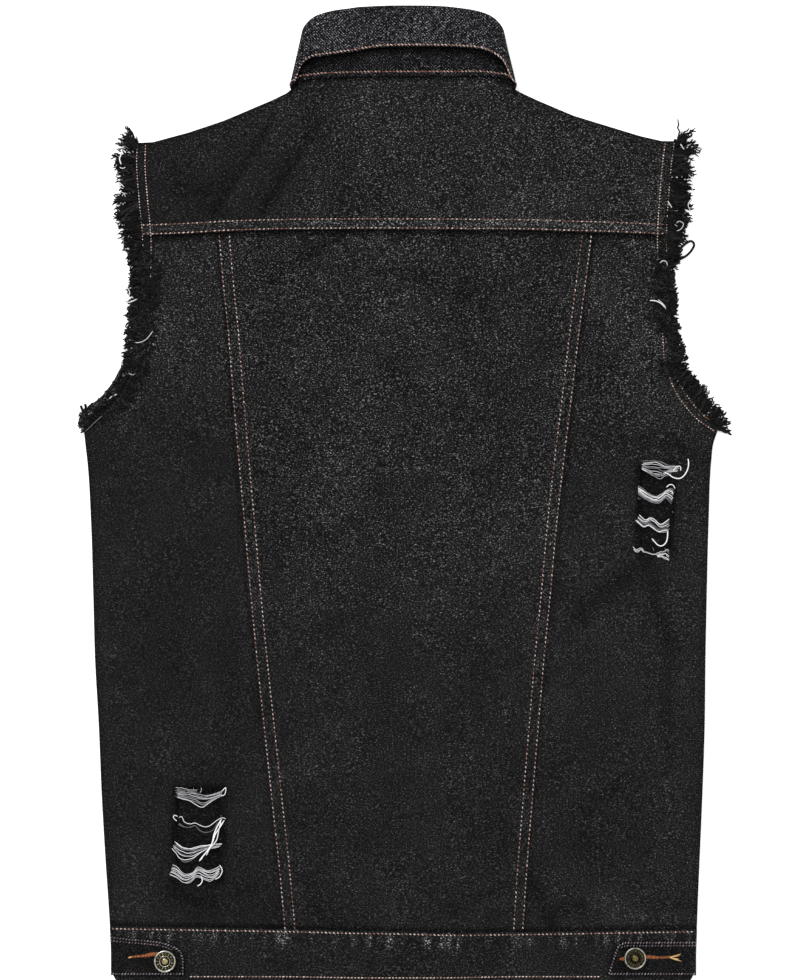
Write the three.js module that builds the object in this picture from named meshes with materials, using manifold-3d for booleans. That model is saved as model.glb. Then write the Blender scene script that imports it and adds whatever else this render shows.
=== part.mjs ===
// A denim vest with cut-off sleeves, lying flat on its front with its back up.
// x runs across the garment, y from hem to collar and z up from the surface it lies on.
// A "height" is the distance above the hem; ORIGIN_HEIGHT of it lies at y = 0.
import * as THREE from "three";
import { mergeVertices } from "three/addons/utils/BufferGeometryUtils.js";
import Module from "manifold-3d";

const wasm = await Module();
wasm.setup();

// Driving dimensions, in millimetres.
const ORIGIN_HEIGHT = 370.5;
const SEAM_GAP = 0.3;
const CLOTH = 1.4;
const BAND_WALL = 2.4;
const COLLAR_WALL = 2;
const BUTTON_DIAMETER = 17;
const BUTTON_RISE = 3;
const FRONT_HEAD = 2.2;
const OVERLAP_HALF = 20;
const WAIST_REFERENCE = 38;
const YOKE_REFERENCE = 567;
const SHOULDER_REFERENCE = 638;
const NECK_LEFT = -85.6;
const NECK_RIGHT = 88.2;
const COLLAR_MIDDLE = 1.5;
const SEAM_HALF_WIDTH = 82.5;
const ROLL_HALF_WIDTH = 71;
const EDGE_HALF_WIDTH = 81;
const FRONT_NECK_TOP = 676;
const FRONT_NECK_DROP = 70;
const PLACKET_CLEARANCE = 2;
const FRONT_TUCK = 0.6;
const SLEEVE_STRIP = 3.2;
const STRANDS_PER_STRIP = 50;
const STRAND_RADIUS = 0.42;

// Turns lists of numbers into rows with named columns.
function rows(names, lists) {
  const columns = names.split(" ");
  return lists.map((list) => Object.fromEntries(columns.map((name, i) => [name, list[i]])));
}

// The side seams, hem to underarm.
const SIDES = rows("height left right", [
  [0, -216.5, 220],
  [3, -218.5, 221.8],
  [9, -219.8, 223.4],
  [28, -221.2, 225],
  [40, -221.9, 225.4],
  [86, -225, 227.3],
  [137, -228, 229.5],
  [194, -230.4, 231.4],
  [244, -233.2, 232],
  [295, -234.6, 233],
  [350, -236.3, 234.4],
  [397, -239.2, 236.5],
  [409, -240.6, 237.9],
  [420.5, -241.7, 241.8],
]);

// The raw armhole edges, underarm to shoulder.
const ARMHOLES = rows("height left right", [
  [420.5, -241.7, 241.8],
  [424, -239.5, 240],
  [429, -233.5, 234.5],
  [437, -225, 226],
  [446, -218, 219],
  [456, -212, 213],
  [466, -208.5, 210.2],
  [496, -203, 207.5],
  [530, -199.5, 205],
  [567, -199, 203.4],
  [596, -201.6, 205],
  [622, -203.4, 207.2],
  [638, -203, 209.3],
]);

// The longest threads of the fray along each armhole.
const FRAY = rows("height left right", [
  [420, 5, 11],
  [430, 11, 15],
  [450, 9, 16],
  [465, 6, 13],
  [480, 10, 11],
  [500, 9, 6],
  [520, 11, 7],
  [540, 10, 6],
  [555, 15, 14],
  [575, 20, 19],
  [630, 20, 21],
  [640, 16, 17],
]);

// The princess seams: the edges of the centre back, which laps over the side backs.
const PRINCESS = rows("height left right", [
  [38, -89.5, 93.9],
  [86, -93.8, 97],
  [137, -99.3, 101],
  [194, -105.4, 105.7],
  [244, -110.7, 109.9],
  [295, -115.6, 114.9],
  [350, -120.4, 119.8],
  [397, -124.7, 125.1],
  [437, -128.2, 130],
  [496, -132.8, 136.9],
  [530, -136.3, 141.3],
  [567, -139.5, 146],
]);

// The top edge of the back, over both shoulders and the neck seam.
const TOP_EDGE = rows("x height", [
  [-205, 638.2],
  [-189, 639],
  [-178, 642],
  [-162, 646.3],
  [-136, 655],
  [-97.3, 670.8],
  [-85.6, 676.6],
  [-83.6, 678.8],
  [-81, 682.5],
  [-76, 686],
  [-70, 688],
  [-60, 689],
  [-38, 689.6],
  [-19, 689.9],
  [0, 690],
  [19, 690],
  [38, 690],
  [61, 690.4],
  [72, 689.6],
  [79, 687.4],
  [84, 684],
  [86.5, 679],
  [88.2, 677.6],
  [104, 670.3],
  [132, 659],
  [145, 655],
  [182, 643.7],
  [199, 639.8],
  [211, 639.8],
]);

// The lower edge of the yoke and the upper edge of the waistband.
const YOKE_EDGE = rows("x height", [
  [-205, 566.5],
  [-162, 567.8],
  [-137, 569.6],
  [-97, 570.6],
  [95, 570.4],
  [126, 569],
  [205, 567],
]);
const WAIST_EDGE = rows("x height", [
  [-225, 40.7],
  [-100, 38.6],
  [0, 38],
  [228, 38.2],
]);

// The collar seen from behind: its roll at the top and the edge of its fall.
const COLLAR_BACK = rows("x roll edge", [
  [-81, 730.2, 682.5],
  [-76, 733.1, 696],
  [-70, 735, 701.8],
  [-60, 737.2, 704.8],
  [-38, 739.8, 707.5],
  [-19, 740.7, 709.8],
  [0, 741, 711],
  [19, 741, 711.2],
  [38, 740.4, 711],
  [61, 738, 708.8],
  [72, 735.8, 705.2],
  [79, 733.4, 698.5],
  [84, 730.4, 685],
]);

// The soft folds of the back: troughs have a positive depth, ridges a negative one.
const FOLDS = rows("fromX fromHeight toX toHeight width depth", [
  [-108, 661, -141, 594, 9, 1.5],
  [-90, 655, -122, 596, 8, -0.8],
  [-80, 628, -99, 588, 8, 1.3],
  [-47, 640, -35, 590, 12, 0.7],
  [-52, 566, -101, 532, 9, 1.1],
  [-26, 546, 26, 530, 9, 1.2],
  [-118, 470, 64, 486, 22, -0.9],
  [-108, 392, 30, 404, 16, 0.7],
  [52, 566, 60, 520, 10, 0.9],
  [140, 415, 184, 408, 8, 1.2],
  [143, 290, 196, 314, 9, 1.3],
  [198, 300, 203, 205, 7, 1.1],
  [-172, 300, -160, 190, 14, 0.8],
  [-175, 66, -128, 58, 10, 1.2],
  [40, 70, 78, 96, 9, 1.1],
  [112, 66, 140, 52, 9, 1.2],
  [-72, 92, -56, 56, 8, 1.0],
  [150, 120, 205, 84, 14, 0.9],
]);

// The holes worn through the ripped patches of the side backs.
const HOLES = rows("x height wide tall", [
  [195.5, 379.5, 27, 7],
  [191.5, 360, 25, 12],
  [189.5, 338, 27, 13],
  [-152.5, 130.5, 33, 10],
  [-156, 111.5, 32, 11],
  [-156, 91.5, 38, 9],
]);

// The adjuster tabs on the back waistband, with the height of their upper edge.
const TABS = rows("x top", [
  [-220.6, 35],
  [-206, 33.4],
  [-192, 32.3],
  [-184.7, 31.5],
  [-177.8, 29.8],
  [-171, 27],
  [-166.5, 23.6],
  [-164.6, 17],
  [157.8, 9],
  [161.5, 21],
  [164.5, 28.5],
  [170, 31],
  [181.6, 31],
  [203, 31.1],
  [224.4, 31.2],
]);
const TAB_BOTTOM = 4.8;
const TAB_BUTTONS = rows("side x height", [
  ["left", -179.4, 16],
  ["right", 177.8, 18.2],
]);
const FRONT_BUTTON_HEIGHTS = [19, 110, 225, 340, 455, 570];

// Levels of the layers, counted up from the surface that the vest lies on.
const LEFT_FRONT_LEVEL = FRONT_HEAD + CLOTH + 2 * SEAM_GAP;
const RIGHT_FRONT_LEVEL = LEFT_FRONT_LEVEL + CLOTH + SEAM_GAP;
const LEFT_BAND_LEVEL = FRONT_HEAD + SEAM_GAP;
const RIGHT_BAND_LEVEL = LEFT_BAND_LEVEL + BAND_WALL + SEAM_GAP;
const COLLAR_CENTRE = 5.9;
const STAND_RADIUS = 1.9;
const FALL_RADIUS = 4.7;
const NECK_LEVEL = COLLAR_CENTRE + STAND_RADIUS - CLOTH / 2;
const COLLAR_CLEARANCE = COLLAR_CENTRE - STAND_RADIUS - CLOTH / 2;

// Reads column "to" of a table at a value of column "from", by straight lines between its rows.
function read(table, from, to, at) {
  const last = table.length - 1;
  let i = 0;
  while (i < last - 1 && table[i + 1][from] < at) i += 1;
  const [a, b] = [table[i], table[i + 1]];
  const t = THREE.MathUtils.clamp((at - a[from]) / (b[from] - a[from]), 0, 1);
  return a[to] + (b[to] - a[to]) * t;
}

const { lerp, smoothstep, degToRad } = THREE.MathUtils;

// The outline of the body at a height: side seam below the underarm, armhole above it.
const UNDERARM = ARMHOLES[0].height;
function outline(side, height) {
  return read(height < UNDERARM ? SIDES : ARMHOLES, "height", side, height);
}

// How far the middle of the body is lifted by the fastened fronts, from 0 at the sides to 1.
const FULLY_LIFTED = OVERLAP_HALF + 4;
const NOT_LIFTED = 95;
function middleLift(x) {
  return 1 - smoothstep(Math.abs(x), FULLY_LIFTED, NOT_LIFTED);
}

// 1 where the front half of the collar lies under the fronts, falling to 0 around it.
const OVER_COLLAR = { halfWidth: 94, fadeTo: 135, fadeFrom: 505, bottom: 541 };
function collarLift(x, height) {
  const across = 1 - smoothstep(Math.abs(x), OVER_COLLAR.halfWidth, OVER_COLLAR.fadeTo);
  return across * smoothstep(height, OVER_COLLAR.fadeFrom, OVER_COLLAR.bottom);
}

function frontLevel(centreLevel, x, height) {
  return Math.max(centreLevel * middleLift(x), COLLAR_CLEARANCE * collarLift(x, height));
}

// Distance from the outline of the body, leaving out the neck.
function outlineDistance(x, height) {
  const side = x < 0 ? "left" : "right";
  const across = Math.abs(outline(side, Math.min(height, SHOULDER_REFERENCE)) - x);
  if (x > NECK_LEFT && x < NECK_RIGHT) {
    const neckPoint = read(TOP_EDGE, "x", "height", NECK_LEFT);
    const corner = Math.hypot(Math.min(x - NECK_LEFT, NECK_RIGHT - x), neckPoint - height);
    return Math.min(across, corner);
  }
  const shoulderCosine = 0.93;
  const below = (read(TOP_EDGE, "x", "height", x) - height) * shoulderCosine;
  return Math.max(0, Math.min(across, below));
}

// Depth of the soft folds: each is a trough or ridge that fades out at both of its ends.
function foldDepth(x, height) {
  let depth = 0;
  for (const fold of FOLDS) {
    const [runX, runHeight] = [fold.toX - fold.fromX, fold.toHeight - fold.fromHeight];
    const length = Math.hypot(runX, runHeight);
    const [offX, offHeight] = [x - fold.fromX, height - fold.fromHeight];
    const along = (offX * runX + offHeight * runHeight) / length;
    const aside = (offX * runHeight - offHeight * runX) / length;
    const beyond = Math.max(0, -along, along - length);
    depth += fold.depth * Math.exp(-((aside / fold.width) ** 2) - (beyond / (2 * fold.width)) ** 2);
  }
  return depth;
}

// Underside of the back: it lies on the fronts at the outline and swells softly inside it.
const SWELL = { rise: 1.9, fromEdge: 4, full: 60, fullHeight: 66 };
const EDGE_ROUNDING = 16;
const WAIST_RISE = { rise: 0.8, top: 72 };
const NECK_SLOPE = { halfWidth: 80, fadeTo: 150, foot: 560, head: 650, seam: 688 };
const FASTENED_FADE = [600, 650];
function backLevel(x, height) {
  const distance = outlineDistance(x, height);
  const centre = RIGHT_FRONT_LEVEL * middleLift(x) * (1 - smoothstep(height, ...FASTENED_FADE));
  const collar = COLLAR_CLEARANCE * collarLift(x, height);
  const neckWidth = 1 - smoothstep(Math.abs(x), NECK_SLOPE.halfWidth, NECK_SLOPE.fadeTo);
  const neckRise = smoothstep(height, NECK_SLOPE.foot, NECK_SLOPE.head);
  const neck = (NECK_LEVEL - CLOTH - SEAM_GAP) * neckWidth * neckRise;
  const fronts = CLOTH + SEAM_GAP + Math.max(centre, collar);
  const stack = CLOTH + SEAM_GAP + (centre ** 4 + collar ** 4 + neck ** 4) ** 0.25;
  const inside = smoothstep(distance, 0, EDGE_ROUNDING);
  const aboveBand = smoothstep(height, WAIST_REFERENCE, SWELL.fullHeight);
  const swell = SWELL.rise * smoothstep(distance, SWELL.fromEdge, SWELL.full) * aboveBand;
  const atNeck = smoothstep(height, NECK_SLOPE.head, NECK_SLOPE.seam) * neckWidth;
  const folded = Math.max(0, swell - foldDepth(x, height)) * (1 - atNeck);
  const waistRise = WAIST_RISE.rise * (1 - smoothstep(height, WAIST_REFERENCE, WAIST_RISE.top));
  return lerp(fronts, stack + folded, inside) + waistRise;
}

// Makes a geometry of points and triangles, turned so that its faces point out.
function closedGeometry(points, triangles) {
  let volume = 0;
  for (const [a, b, c] of triangles) volume += points[a].dot(points[b].clone().cross(points[c]));
  const facing = volume < 0 ? triangles.map(([a, b, c]) => [a, c, b]) : triangles;
  const geometry = new THREE.BufferGeometry().setFromPoints(points);
  geometry.setIndex(facing.flat());
  return geometry;
}

// Joins two grids of points, the two faces of a piece of cloth, into one closed wall.
function wallBetween(lower, upper) {
  const [down, across] = [lower.length, lower[0].length];
  const points = [...lower.flat(), ...upper.flat()];
  const under = (j, i) => j * across + i;
  const over = (j, i) => (down + j) * across + i;
  const triangles = [];
  const quad = (a, b, c, d) => triangles.push([a, b, c], [a, c, d]);
  for (let j = 0; j < down - 1; j += 1) {
    for (let i = 0; i < across - 1; i += 1) {
      quad(over(j, i), over(j, i + 1), over(j + 1, i + 1), over(j + 1, i));
      quad(under(j, i), under(j + 1, i), under(j + 1, i + 1), under(j, i + 1));
    }
  }
  for (let i = 0; i < across - 1; i += 1) {
    const [j, k] = [0, down - 1];
    quad(under(j, i), under(j, i + 1), over(j, i + 1), over(j, i));
    quad(under(k, i + 1), under(k, i), over(k, i), over(k, i + 1));
  }
  for (let j = 0; j < down - 1; j += 1) {
    const [i, k] = [0, across - 1];
    quad(under(j + 1, i), under(j, i), over(j, i), over(j + 1, i));
    quad(under(j, k), under(j + 1, k), over(j + 1, k), over(j, k));
  }
  return closedGeometry(points, triangles);
}

const at = (x, height, z) => new THREE.Vector3(x, height - ORIGIN_HEIGHT, z);

// A flat-cut piece of cloth. Its rows run between two outlines, its columns between two edges,
// and level gives the height of its underside. The rows bend to the bottom and top edges; with
// a larger ease they do so only near them.
function panel({ heights, columns, left, right, bottom, top, level, thick = CLOTH, ease = 1 }) {
  const [first, last] = [heights[0], heights.at(-1)];
  const grid = (raised) =>
    heights.map((reference) => {
      const v = (reference - first) / (last - first);
      return columns.map((u) => {
        const x = lerp(left(reference), right(reference), u);
        const bend = (bottom(x) - first) * (1 - v) ** ease + (top(x) - last) * v ** ease;
        return at(x, reference + bend, level(x, reference + bend) + raised);
      });
    });
  return wallBetween(grid(0), grid(thick));
}

// Evenly spaced values from one to another.
function spaced(from, to, steps) {
  return Array.from({ length: steps + 1 }, (_, i) => from + ((to - from) * i) / steps);
}

// Splits each step of a list in two.
function halved(list) {
  return list.flatMap((value, i) => (i ? [(list[i - 1] + value) / 2, value] : [value]));
}

function toSolid(geometry) {
  const bare = geometry.clone();
  bare.deleteAttribute("normal");
  bare.deleteAttribute("uv");
  const merged = mergeVertices(bare, 1e-4);
  const vertProperties = new Float32Array(merged.attributes.position.array);
  const triVerts = new Uint32Array(merged.index.array);
  return new wasm.Manifold(new wasm.Mesh({ numProp: 3, vertProperties, triVerts }));
}

function toGeometry(solid) {
  const mesh = solid.getMesh();
  const geometry = new THREE.BufferGeometry();
  geometry.setAttribute("position", new THREE.BufferAttribute(mesh.vertProperties, 3));
  geometry.setIndex(new THREE.BufferAttribute(mesh.triVerts, 1));
  return geometry;
}

const bodyHeights = PRINCESS.map((row) => row.height);
const armholeHeights = ARMHOLES.map((row) => row.height);
const belowUnderarm = SIDES.at(-2).height;
const sideHeights = [
  ...bodyHeights.filter((height) => height < belowUnderarm),
  belowUnderarm,
  ...armholeHeights.filter((height) => height <= YOKE_REFERENCE),
];
const yokeBottom = (x) => read(YOKE_EDGE, "x", "height", x);
const topEdge = (x) => read(TOP_EDGE, "x", "height", x);
const waistTop = (x) => read(WAIST_EDGE, "x", "height", x);
const princess = (side) => (height) => read(PRINCESS, "height", side, height);
const edge = (side) => (height) => outline(side, height);

// How far a lapped edge stands up on the panel that it is stitched to, over its own width.
const LAP = 0.6;
const LAP_WIDTH = 9;
const YOKE_LAP_END = 18;
const CENTRE_LAP_END = 16;
const LAP_ROUNDING = 8;
const PANEL_EASE = 4;
const CORNER_MARGIN = 5;

function makeYoke() {
  const [left, right] = [edge("left"), edge("right")];
  const [from, to] = [left(SHOULDER_REFERENCE), right(SHOULDER_REFERENCE)];
  const clear = (x) => x > from + CORNER_MARGIN && x < to - CORNER_MARGIN;
  const inner = TOP_EDGE.map((row) => row.x).filter(clear);
  return panel({
    heights: spaced(YOKE_REFERENCE, SHOULDER_REFERENCE, 7),
    columns: [from, ...inner, to].map((x) => (x - from) / (to - from)),
    left,
    right,
    bottom: yokeBottom,
    top: topEdge,
    level: (x, height) => {
      const lap = LAP * (1 - smoothstep(height - yokeBottom(x), LAP_WIDTH, YOKE_LAP_END));
      return backLevel(x, height) + lap * smoothstep(outlineDistance(x, height), 0, LAP_ROUNDING);
    },
  });
}

function makeCentreBack() {
  return panel({
    heights: halved(bodyHeights),
    columns: [0, 0.04, ...spaced(0.1, 0.9, 11), 0.96, 1],
    left: princess("left"),
    right: princess("right"),
    bottom: (x) => waistTop(x) + SEAM_GAP,
    top: (x) => yokeBottom(x) - SEAM_GAP,
    ease: PANEL_EASE,
    level: (x, height) => {
      const seam = Math.min(x - princess("left")(height), princess("right")(height) - x);
      return backLevel(x, height) + LAP * (1 - smoothstep(seam, LAP_WIDTH, CENTRE_LAP_END));
    },
  });
}

// An uneven closed outline around a worn hole, cut straight through.
function holeCutter(hole) {
  const corners = 14;
  const [cutFrom, cutDepth] = [-10, 40];
  const shape = new THREE.Shape(
    spaced(0, 2 * Math.PI, corners)
      .slice(0, corners)
      .map((angle, i) => {
        const uneven = 0.9 + 0.1 * Math.sin(i * 2.3 + hole.x);
        const [cosine, sine] = [Math.cos(angle), Math.sin(angle)];
        const squared = uneven / (Math.abs(cosine) ** 4 + Math.abs(sine) ** 4) ** 0.25;
        return new THREE.Vector2(
          hole.x + (hole.wide / 2) * cosine * squared,
          hole.height - ORIGIN_HEIGHT + (hole.tall / 2) * sine * squared,
        );
      }),
  );
  return new THREE.ExtrudeGeometry(shape, { depth: cutDepth, bevelEnabled: false, steps: 1 })
    .translate(0, 0, cutFrom);
}

function makeSideBack(side) {
  const onLeft = side === "left";
  const seam = (height) => princess(side)(height) + (onLeft ? -SEAM_GAP : SEAM_GAP);
  const whole = panel({
    heights: sideHeights,
    columns: spaced(0, 1, 8),
    left: onLeft ? edge("left") : seam,
    right: onLeft ? seam : edge("right"),
    bottom: (x) => waistTop(x) + SEAM_GAP,
    top: (x) => yokeBottom(x) - SEAM_GAP,
    level: backLevel,
    ease: PANEL_EASE,
  });
  const holes = HOLES.filter((hole) => hole.x < 0 === onLeft);
  const cut = (cloth, hole) => cloth.subtract(toSolid(holeCutter(hole)));
  return toGeometry(holes.reduce(cut, toSolid(whole)));
}

// The angles at which both the front neckline and the collar seam have their points.
const NECK_ANGLES = spaced(0, 87, 7).map(degToRad);

// Top edge of a front: the scooped neckline, then the shoulder.
function frontTop(x) {
  const halfWidth = SEAM_HALF_WIDTH + SEAM_GAP;
  const aside = Math.abs(x - COLLAR_MIDDLE);
  const fromCentre = Math.max(aside, halfWidth * Math.cos(NECK_ANGLES.at(-1)));
  const scoop = Math.sqrt(Math.max(0, 1 - (fromCentre / halfWidth) ** 2));
  const neckline = FRONT_NECK_TOP - SEAM_GAP - FRONT_NECK_DROP * scoop;
  return aside < halfWidth ? neckline : Math.min(FRONT_NECK_TOP, topEdge(x));
}

function makeFront(side) {
  const onLeft = side === "left";
  const facing = onLeft ? 1 : -1;
  const tuck = facing * FRONT_TUCK;
  const outer = (height) => outline(side, height) + tuck;
  const inner = () => facing * OVERLAP_HALF;
  const top = SHOULDER_REFERENCE;
  const neckPoint = onLeft ? NECK_LEFT : NECK_RIGHT;
  const halfWidth = SEAM_HALF_WIDTH + SEAM_GAP;
  const neck = NECK_ANGLES.map((angle) => COLLAR_MIDDLE - facing * halfWidth * Math.cos(angle));
  const shoulder = spaced(outer(top), neckPoint, 5);
  const stations = [...shoulder, ...neck, inner()];
  const columns = stations.map((x) => (x - outer(top)) / (inner() - outer(top)));
  const ordered = onLeft ? columns : columns.map((u) => 1 - u).reverse();
  return panel({
    heights: [...sideHeights, ...armholeHeights.filter((height) => height > YOKE_REFERENCE)],
    columns: ordered,
    left: onLeft ? outer : inner,
    right: onLeft ? inner : outer,
    bottom: (x) => waistTop(x) + SEAM_GAP,
    top: (x) => frontTop(facing * (x - COLLAR_MIDDLE) > 0 ? COLLAR_MIDDLE : x),
    ease: PANEL_EASE,
    level: (x, height) => frontLevel(onLeft ? LEFT_FRONT_LEVEL : RIGHT_FRONT_LEVEL, x, height),
  });
}

function makePlacket() {
  const level = (x, height) => frontLevel(LEFT_FRONT_LEVEL, x, height) - CLOTH - SEAM_GAP;
  const topHeight = FRONT_NECK_TOP - FRONT_NECK_DROP - PLACKET_CLEARANCE;
  return panel({
    heights: spaced(WAIST_REFERENCE, topHeight, 12),
    columns: [0, 0.5, 1],
    left: () => -OVERLAP_HALF,
    right: () => OVERLAP_HALF,
    bottom: (x) => waistTop(x) + SEAM_GAP,
    top: () => topHeight,
    level,
  });
}

const bandLevel = (x) => BAND_WALL + SEAM_GAP + RIGHT_BAND_LEVEL * middleLift(x);
const bandHeights = SIDES.map((row) => row.height).filter((height) => height < WAIST_REFERENCE);
bandHeights.push(WAIST_REFERENCE);
const BAND_STEPS = { back: 30, front: 18 };

function makeBand(left, right, level, steps) {
  return panel({
    heights: bandHeights,
    columns: spaced(0, 1, steps),
    left,
    right,
    bottom: () => 0,
    top: waistTop,
    level,
    thick: BAND_WALL,
  });
}

function makeFrontBand(side) {
  const onLeft = side === "left";
  const level = onLeft ? LEFT_BAND_LEVEL : RIGHT_BAND_LEVEL;
  const inner = () => (onLeft ? OVERLAP_HALF : -OVERLAP_HALF);
  const sides = onLeft ? [edge("left"), inner] : [inner, edge("right")];
  return makeBand(...sides, (x) => level * middleLift(x), BAND_STEPS.front);
}

// A tab follows the waistband's outer face, moved out.
function makeTab(side) {
  const stations = TABS.filter((row) => row.x < 0 === (side === "left")).map((row) => row.x);
  const [first, last] = [stations[0], stations.at(-1)];
  return panel({
    heights: [0, 1, 2, 3],
    columns: stations.map((x) => (x - first) / (last - first)),
    left: () => first,
    right: () => last,
    bottom: () => TAB_BOTTOM,
    top: (x) => read(TABS, "x", "top", x),
    level: (x) => bandLevel(x) + BAND_WALL + SEAM_GAP,
    thick: BAND_WALL,
  });
}

// Half sections of a shank button's head, as shares of its radius and rise.
const DETAILED_HEAD = rows("across up", [
  [0, 0],
  [0.9, 0],
  [1, 0.22],
  [1, 0.6],
  [0.94, 0.86],
  [0.84, 0.92],
  [0.78, 0.72],
  [0.54, 0.72],
  [0.48, 0.95],
  [0.3, 1],
  [0, 0.92],
]);
const PLAIN_HEAD = rows("across up", [
  [0, 0],
  [1, 0.3],
  [1, 0.7],
  [0.9, 1],
  [0, 1],
]);

// A shank button's head, turned round its axis.
function buttonHead(section, rise, segments) {
  const radius = BUTTON_DIAMETER / 2;
  const profile = section.map((row) => new THREE.Vector2(row.across * radius, row.up * rise));
  return new THREE.LatheGeometry(profile, segments).rotateX(Math.PI / 2);
}

// One station of the collar: where its seam, roll and edge lie, and which way its layers stack.
// The stations go round the neck: down the left front, over the back and down the right front.
const COLLAR_TURNS = [60, 20, -20, -60];
const TURN_SEAM = { left: 682.8, right: 684.3 };
const TURN_ROLL = [730.3, 716];
const TURN_EDGE = [684, 676.5];
const FRONT_ROLL = [722, 622];
const FRONT_EDGE = [673, 549];
const FRONT_EDGE_HALF_WIDTH = 61;
const NARROWEST_ROLL = 7;
function collarStations() {
  const front = (sign) =>
    NECK_ANGLES.map((angle, i) => {
      const t = i / (NECK_ANGLES.length - 1);
      const [cosine, sine] = [Math.cos(angle), Math.sin(angle)];
      const rollX = Math.max(NARROWEST_ROLL, ROLL_HALF_WIDTH * cosine);
      const edgeX = lerp(SEAM_HALF_WIDTH, FRONT_EDGE_HALF_WIDTH, t);
      return {
        seam: [COLLAR_MIDDLE + sign * SEAM_HALF_WIDTH * cosine, FRONT_NECK_TOP - FRONT_NECK_DROP * sine],
        roll: [COLLAR_MIDDLE + sign * rollX, lerp(...FRONT_ROLL, sine)],
        edge: [COLLAR_MIDDLE + sign * edgeX, lerp(...FRONT_EDGE, t)],
        out: [0, -1],
      };
    });
  const turn = (sign) =>
    COLLAR_TURNS.map((degrees) => {
      const t = (90 - degrees) / 180;
      const angle = degToRad(degrees);
      const rim = lerp(EDGE_HALF_WIDTH, SEAM_HALF_WIDTH, (2 * t - 1) ** 2);
      const seamTop = sign < 0 ? TURN_SEAM.left : TURN_SEAM.right;
      return {
        seam: [COLLAR_MIDDLE + sign * SEAM_HALF_WIDTH, lerp(seamTop, FRONT_NECK_TOP, t ** 4)],
        roll: [COLLAR_MIDDLE + sign * ROLL_HALF_WIDTH, lerp(...TURN_ROLL, t)],
        edge: [COLLAR_MIDDLE + sign * rim, lerp(...TURN_EDGE, t)],
        out: [sign * Math.cos(angle), Math.sin(angle)],
      };
    });
  const narrowing = ROLL_HALF_WIDTH / SEAM_HALF_WIDTH;
  const back = COLLAR_BACK.map((row) => ({
    seam: [row.x, topEdge(row.x) + SEAM_GAP],
    roll: [lerp(COLLAR_MIDDLE, row.x, narrowing), row.roll],
    edge: [row.x, row.edge],
    out: [0, 1],
  }));
  return [...front(-1).reverse(), ...turn(-1).reverse(), ...back, ...turn(1), ...front(1)];
}

// The collar: a stand that rises from the neck seam, rolls over and falls outside itself.
function makeCollar() {
  const rollRadius = (FALL_RADIUS - STAND_RADIUS) / 2;
  const middle = STAND_RADIUS + rollRadius;
  const half = COLLAR_WALL / 2;
  const section = rows("part along turned", [
    ["stand", 0, 0],
    ["stand", 0.5, 0],
    ["stand", 1, 0],
    ["roll", 0, 45],
    ["roll", 0, 90],
    ["roll", 0, 135],
    ["fall", 0, 180],
    ["fall", 0.5, 180],
    ["fall", 1, 180],
  ]);
  const grid = (offset) =>
    section.map((row) =>
      collarStations().map(({ seam, roll, edge: rim, out }) => {
        const end = row.part === "fall" ? rim : seam;
        const share = row.part === "stand" ? row.along : 1 - row.along;
        const run = [roll[0] - end[0], roll[1] - end[1]];
        const length = Math.hypot(...run);
        const reach = row.part === "roll" ? length : share * (length - rollRadius);
        const angle = degToRad(row.turned);
        const straight = row.part === "roll" ? rollRadius * (Math.sin(angle) - 1) : 0;
        const along = reach + straight + offset * Math.sin(angle);
        const raise = middle - (rollRadius + offset) * Math.cos(angle);
        const x = end[0] + (run[0] * along) / length + out[0] * raise;
        return at(x, end[1] + (run[1] * along) / length, COLLAR_CENTRE + out[1] * raise);
      }),
    );
  return wallBetween(grid(-half), grid(half));
}

// A repeatable uneven value between -1 and 1.
function uneven(index, seed) {
  const value = Math.sin(index * 12.9898 + seed * 78.233) * 43758.5453;
  return 2 * (value - Math.floor(value)) - 1;
}

// One thread of the fray: a thin three-sided spike with a bend in the middle.
function makeStrand(root, middle, tip, radius) {
  const across = tip.clone().sub(root).setZ(0).normalize();
  const aside = new THREE.Vector3(-across.y, across.x, 0);
  const ring = (centre, size) =>
    [90, 210, 330].map((degrees) =>
      centre
        .clone()
        .addScaledVector(aside, size * Math.cos(degToRad(degrees)))
        .add(new THREE.Vector3(0, 0, size * Math.sin(degToRad(degrees)))),
    );
  const points = [...ring(root, radius), ...ring(middle, 0.85 * radius), tip];
  const triangles = [[0, 2, 1]];
  for (let i = 0; i < 3; i += 1) {
    const next = (i + 1) % 3;
    triangles.push([i, next, next + 3], [i, next + 3, i + 3], [i + 3, next + 3, 6]);
  }
  return closedGeometry(points, triangles);
}

// How the threads of a raw edge lean, in degrees: they fan out at the two ends of an armhole,
// over a share of its length, and swing about between them.
const FAN = { shoulder: 34, underarm: 26, shoulderFrom: 0.88, underarmTo: 0.1 };
const SWING = { size: 10, pace: 0.9, uneven: 7 };
const ROOT_INSET = 1.2;
const LEAST_REACH = { middle: 0.8, tip: 2.4 };
const TIP_CLEARANCE = 0.35;

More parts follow.
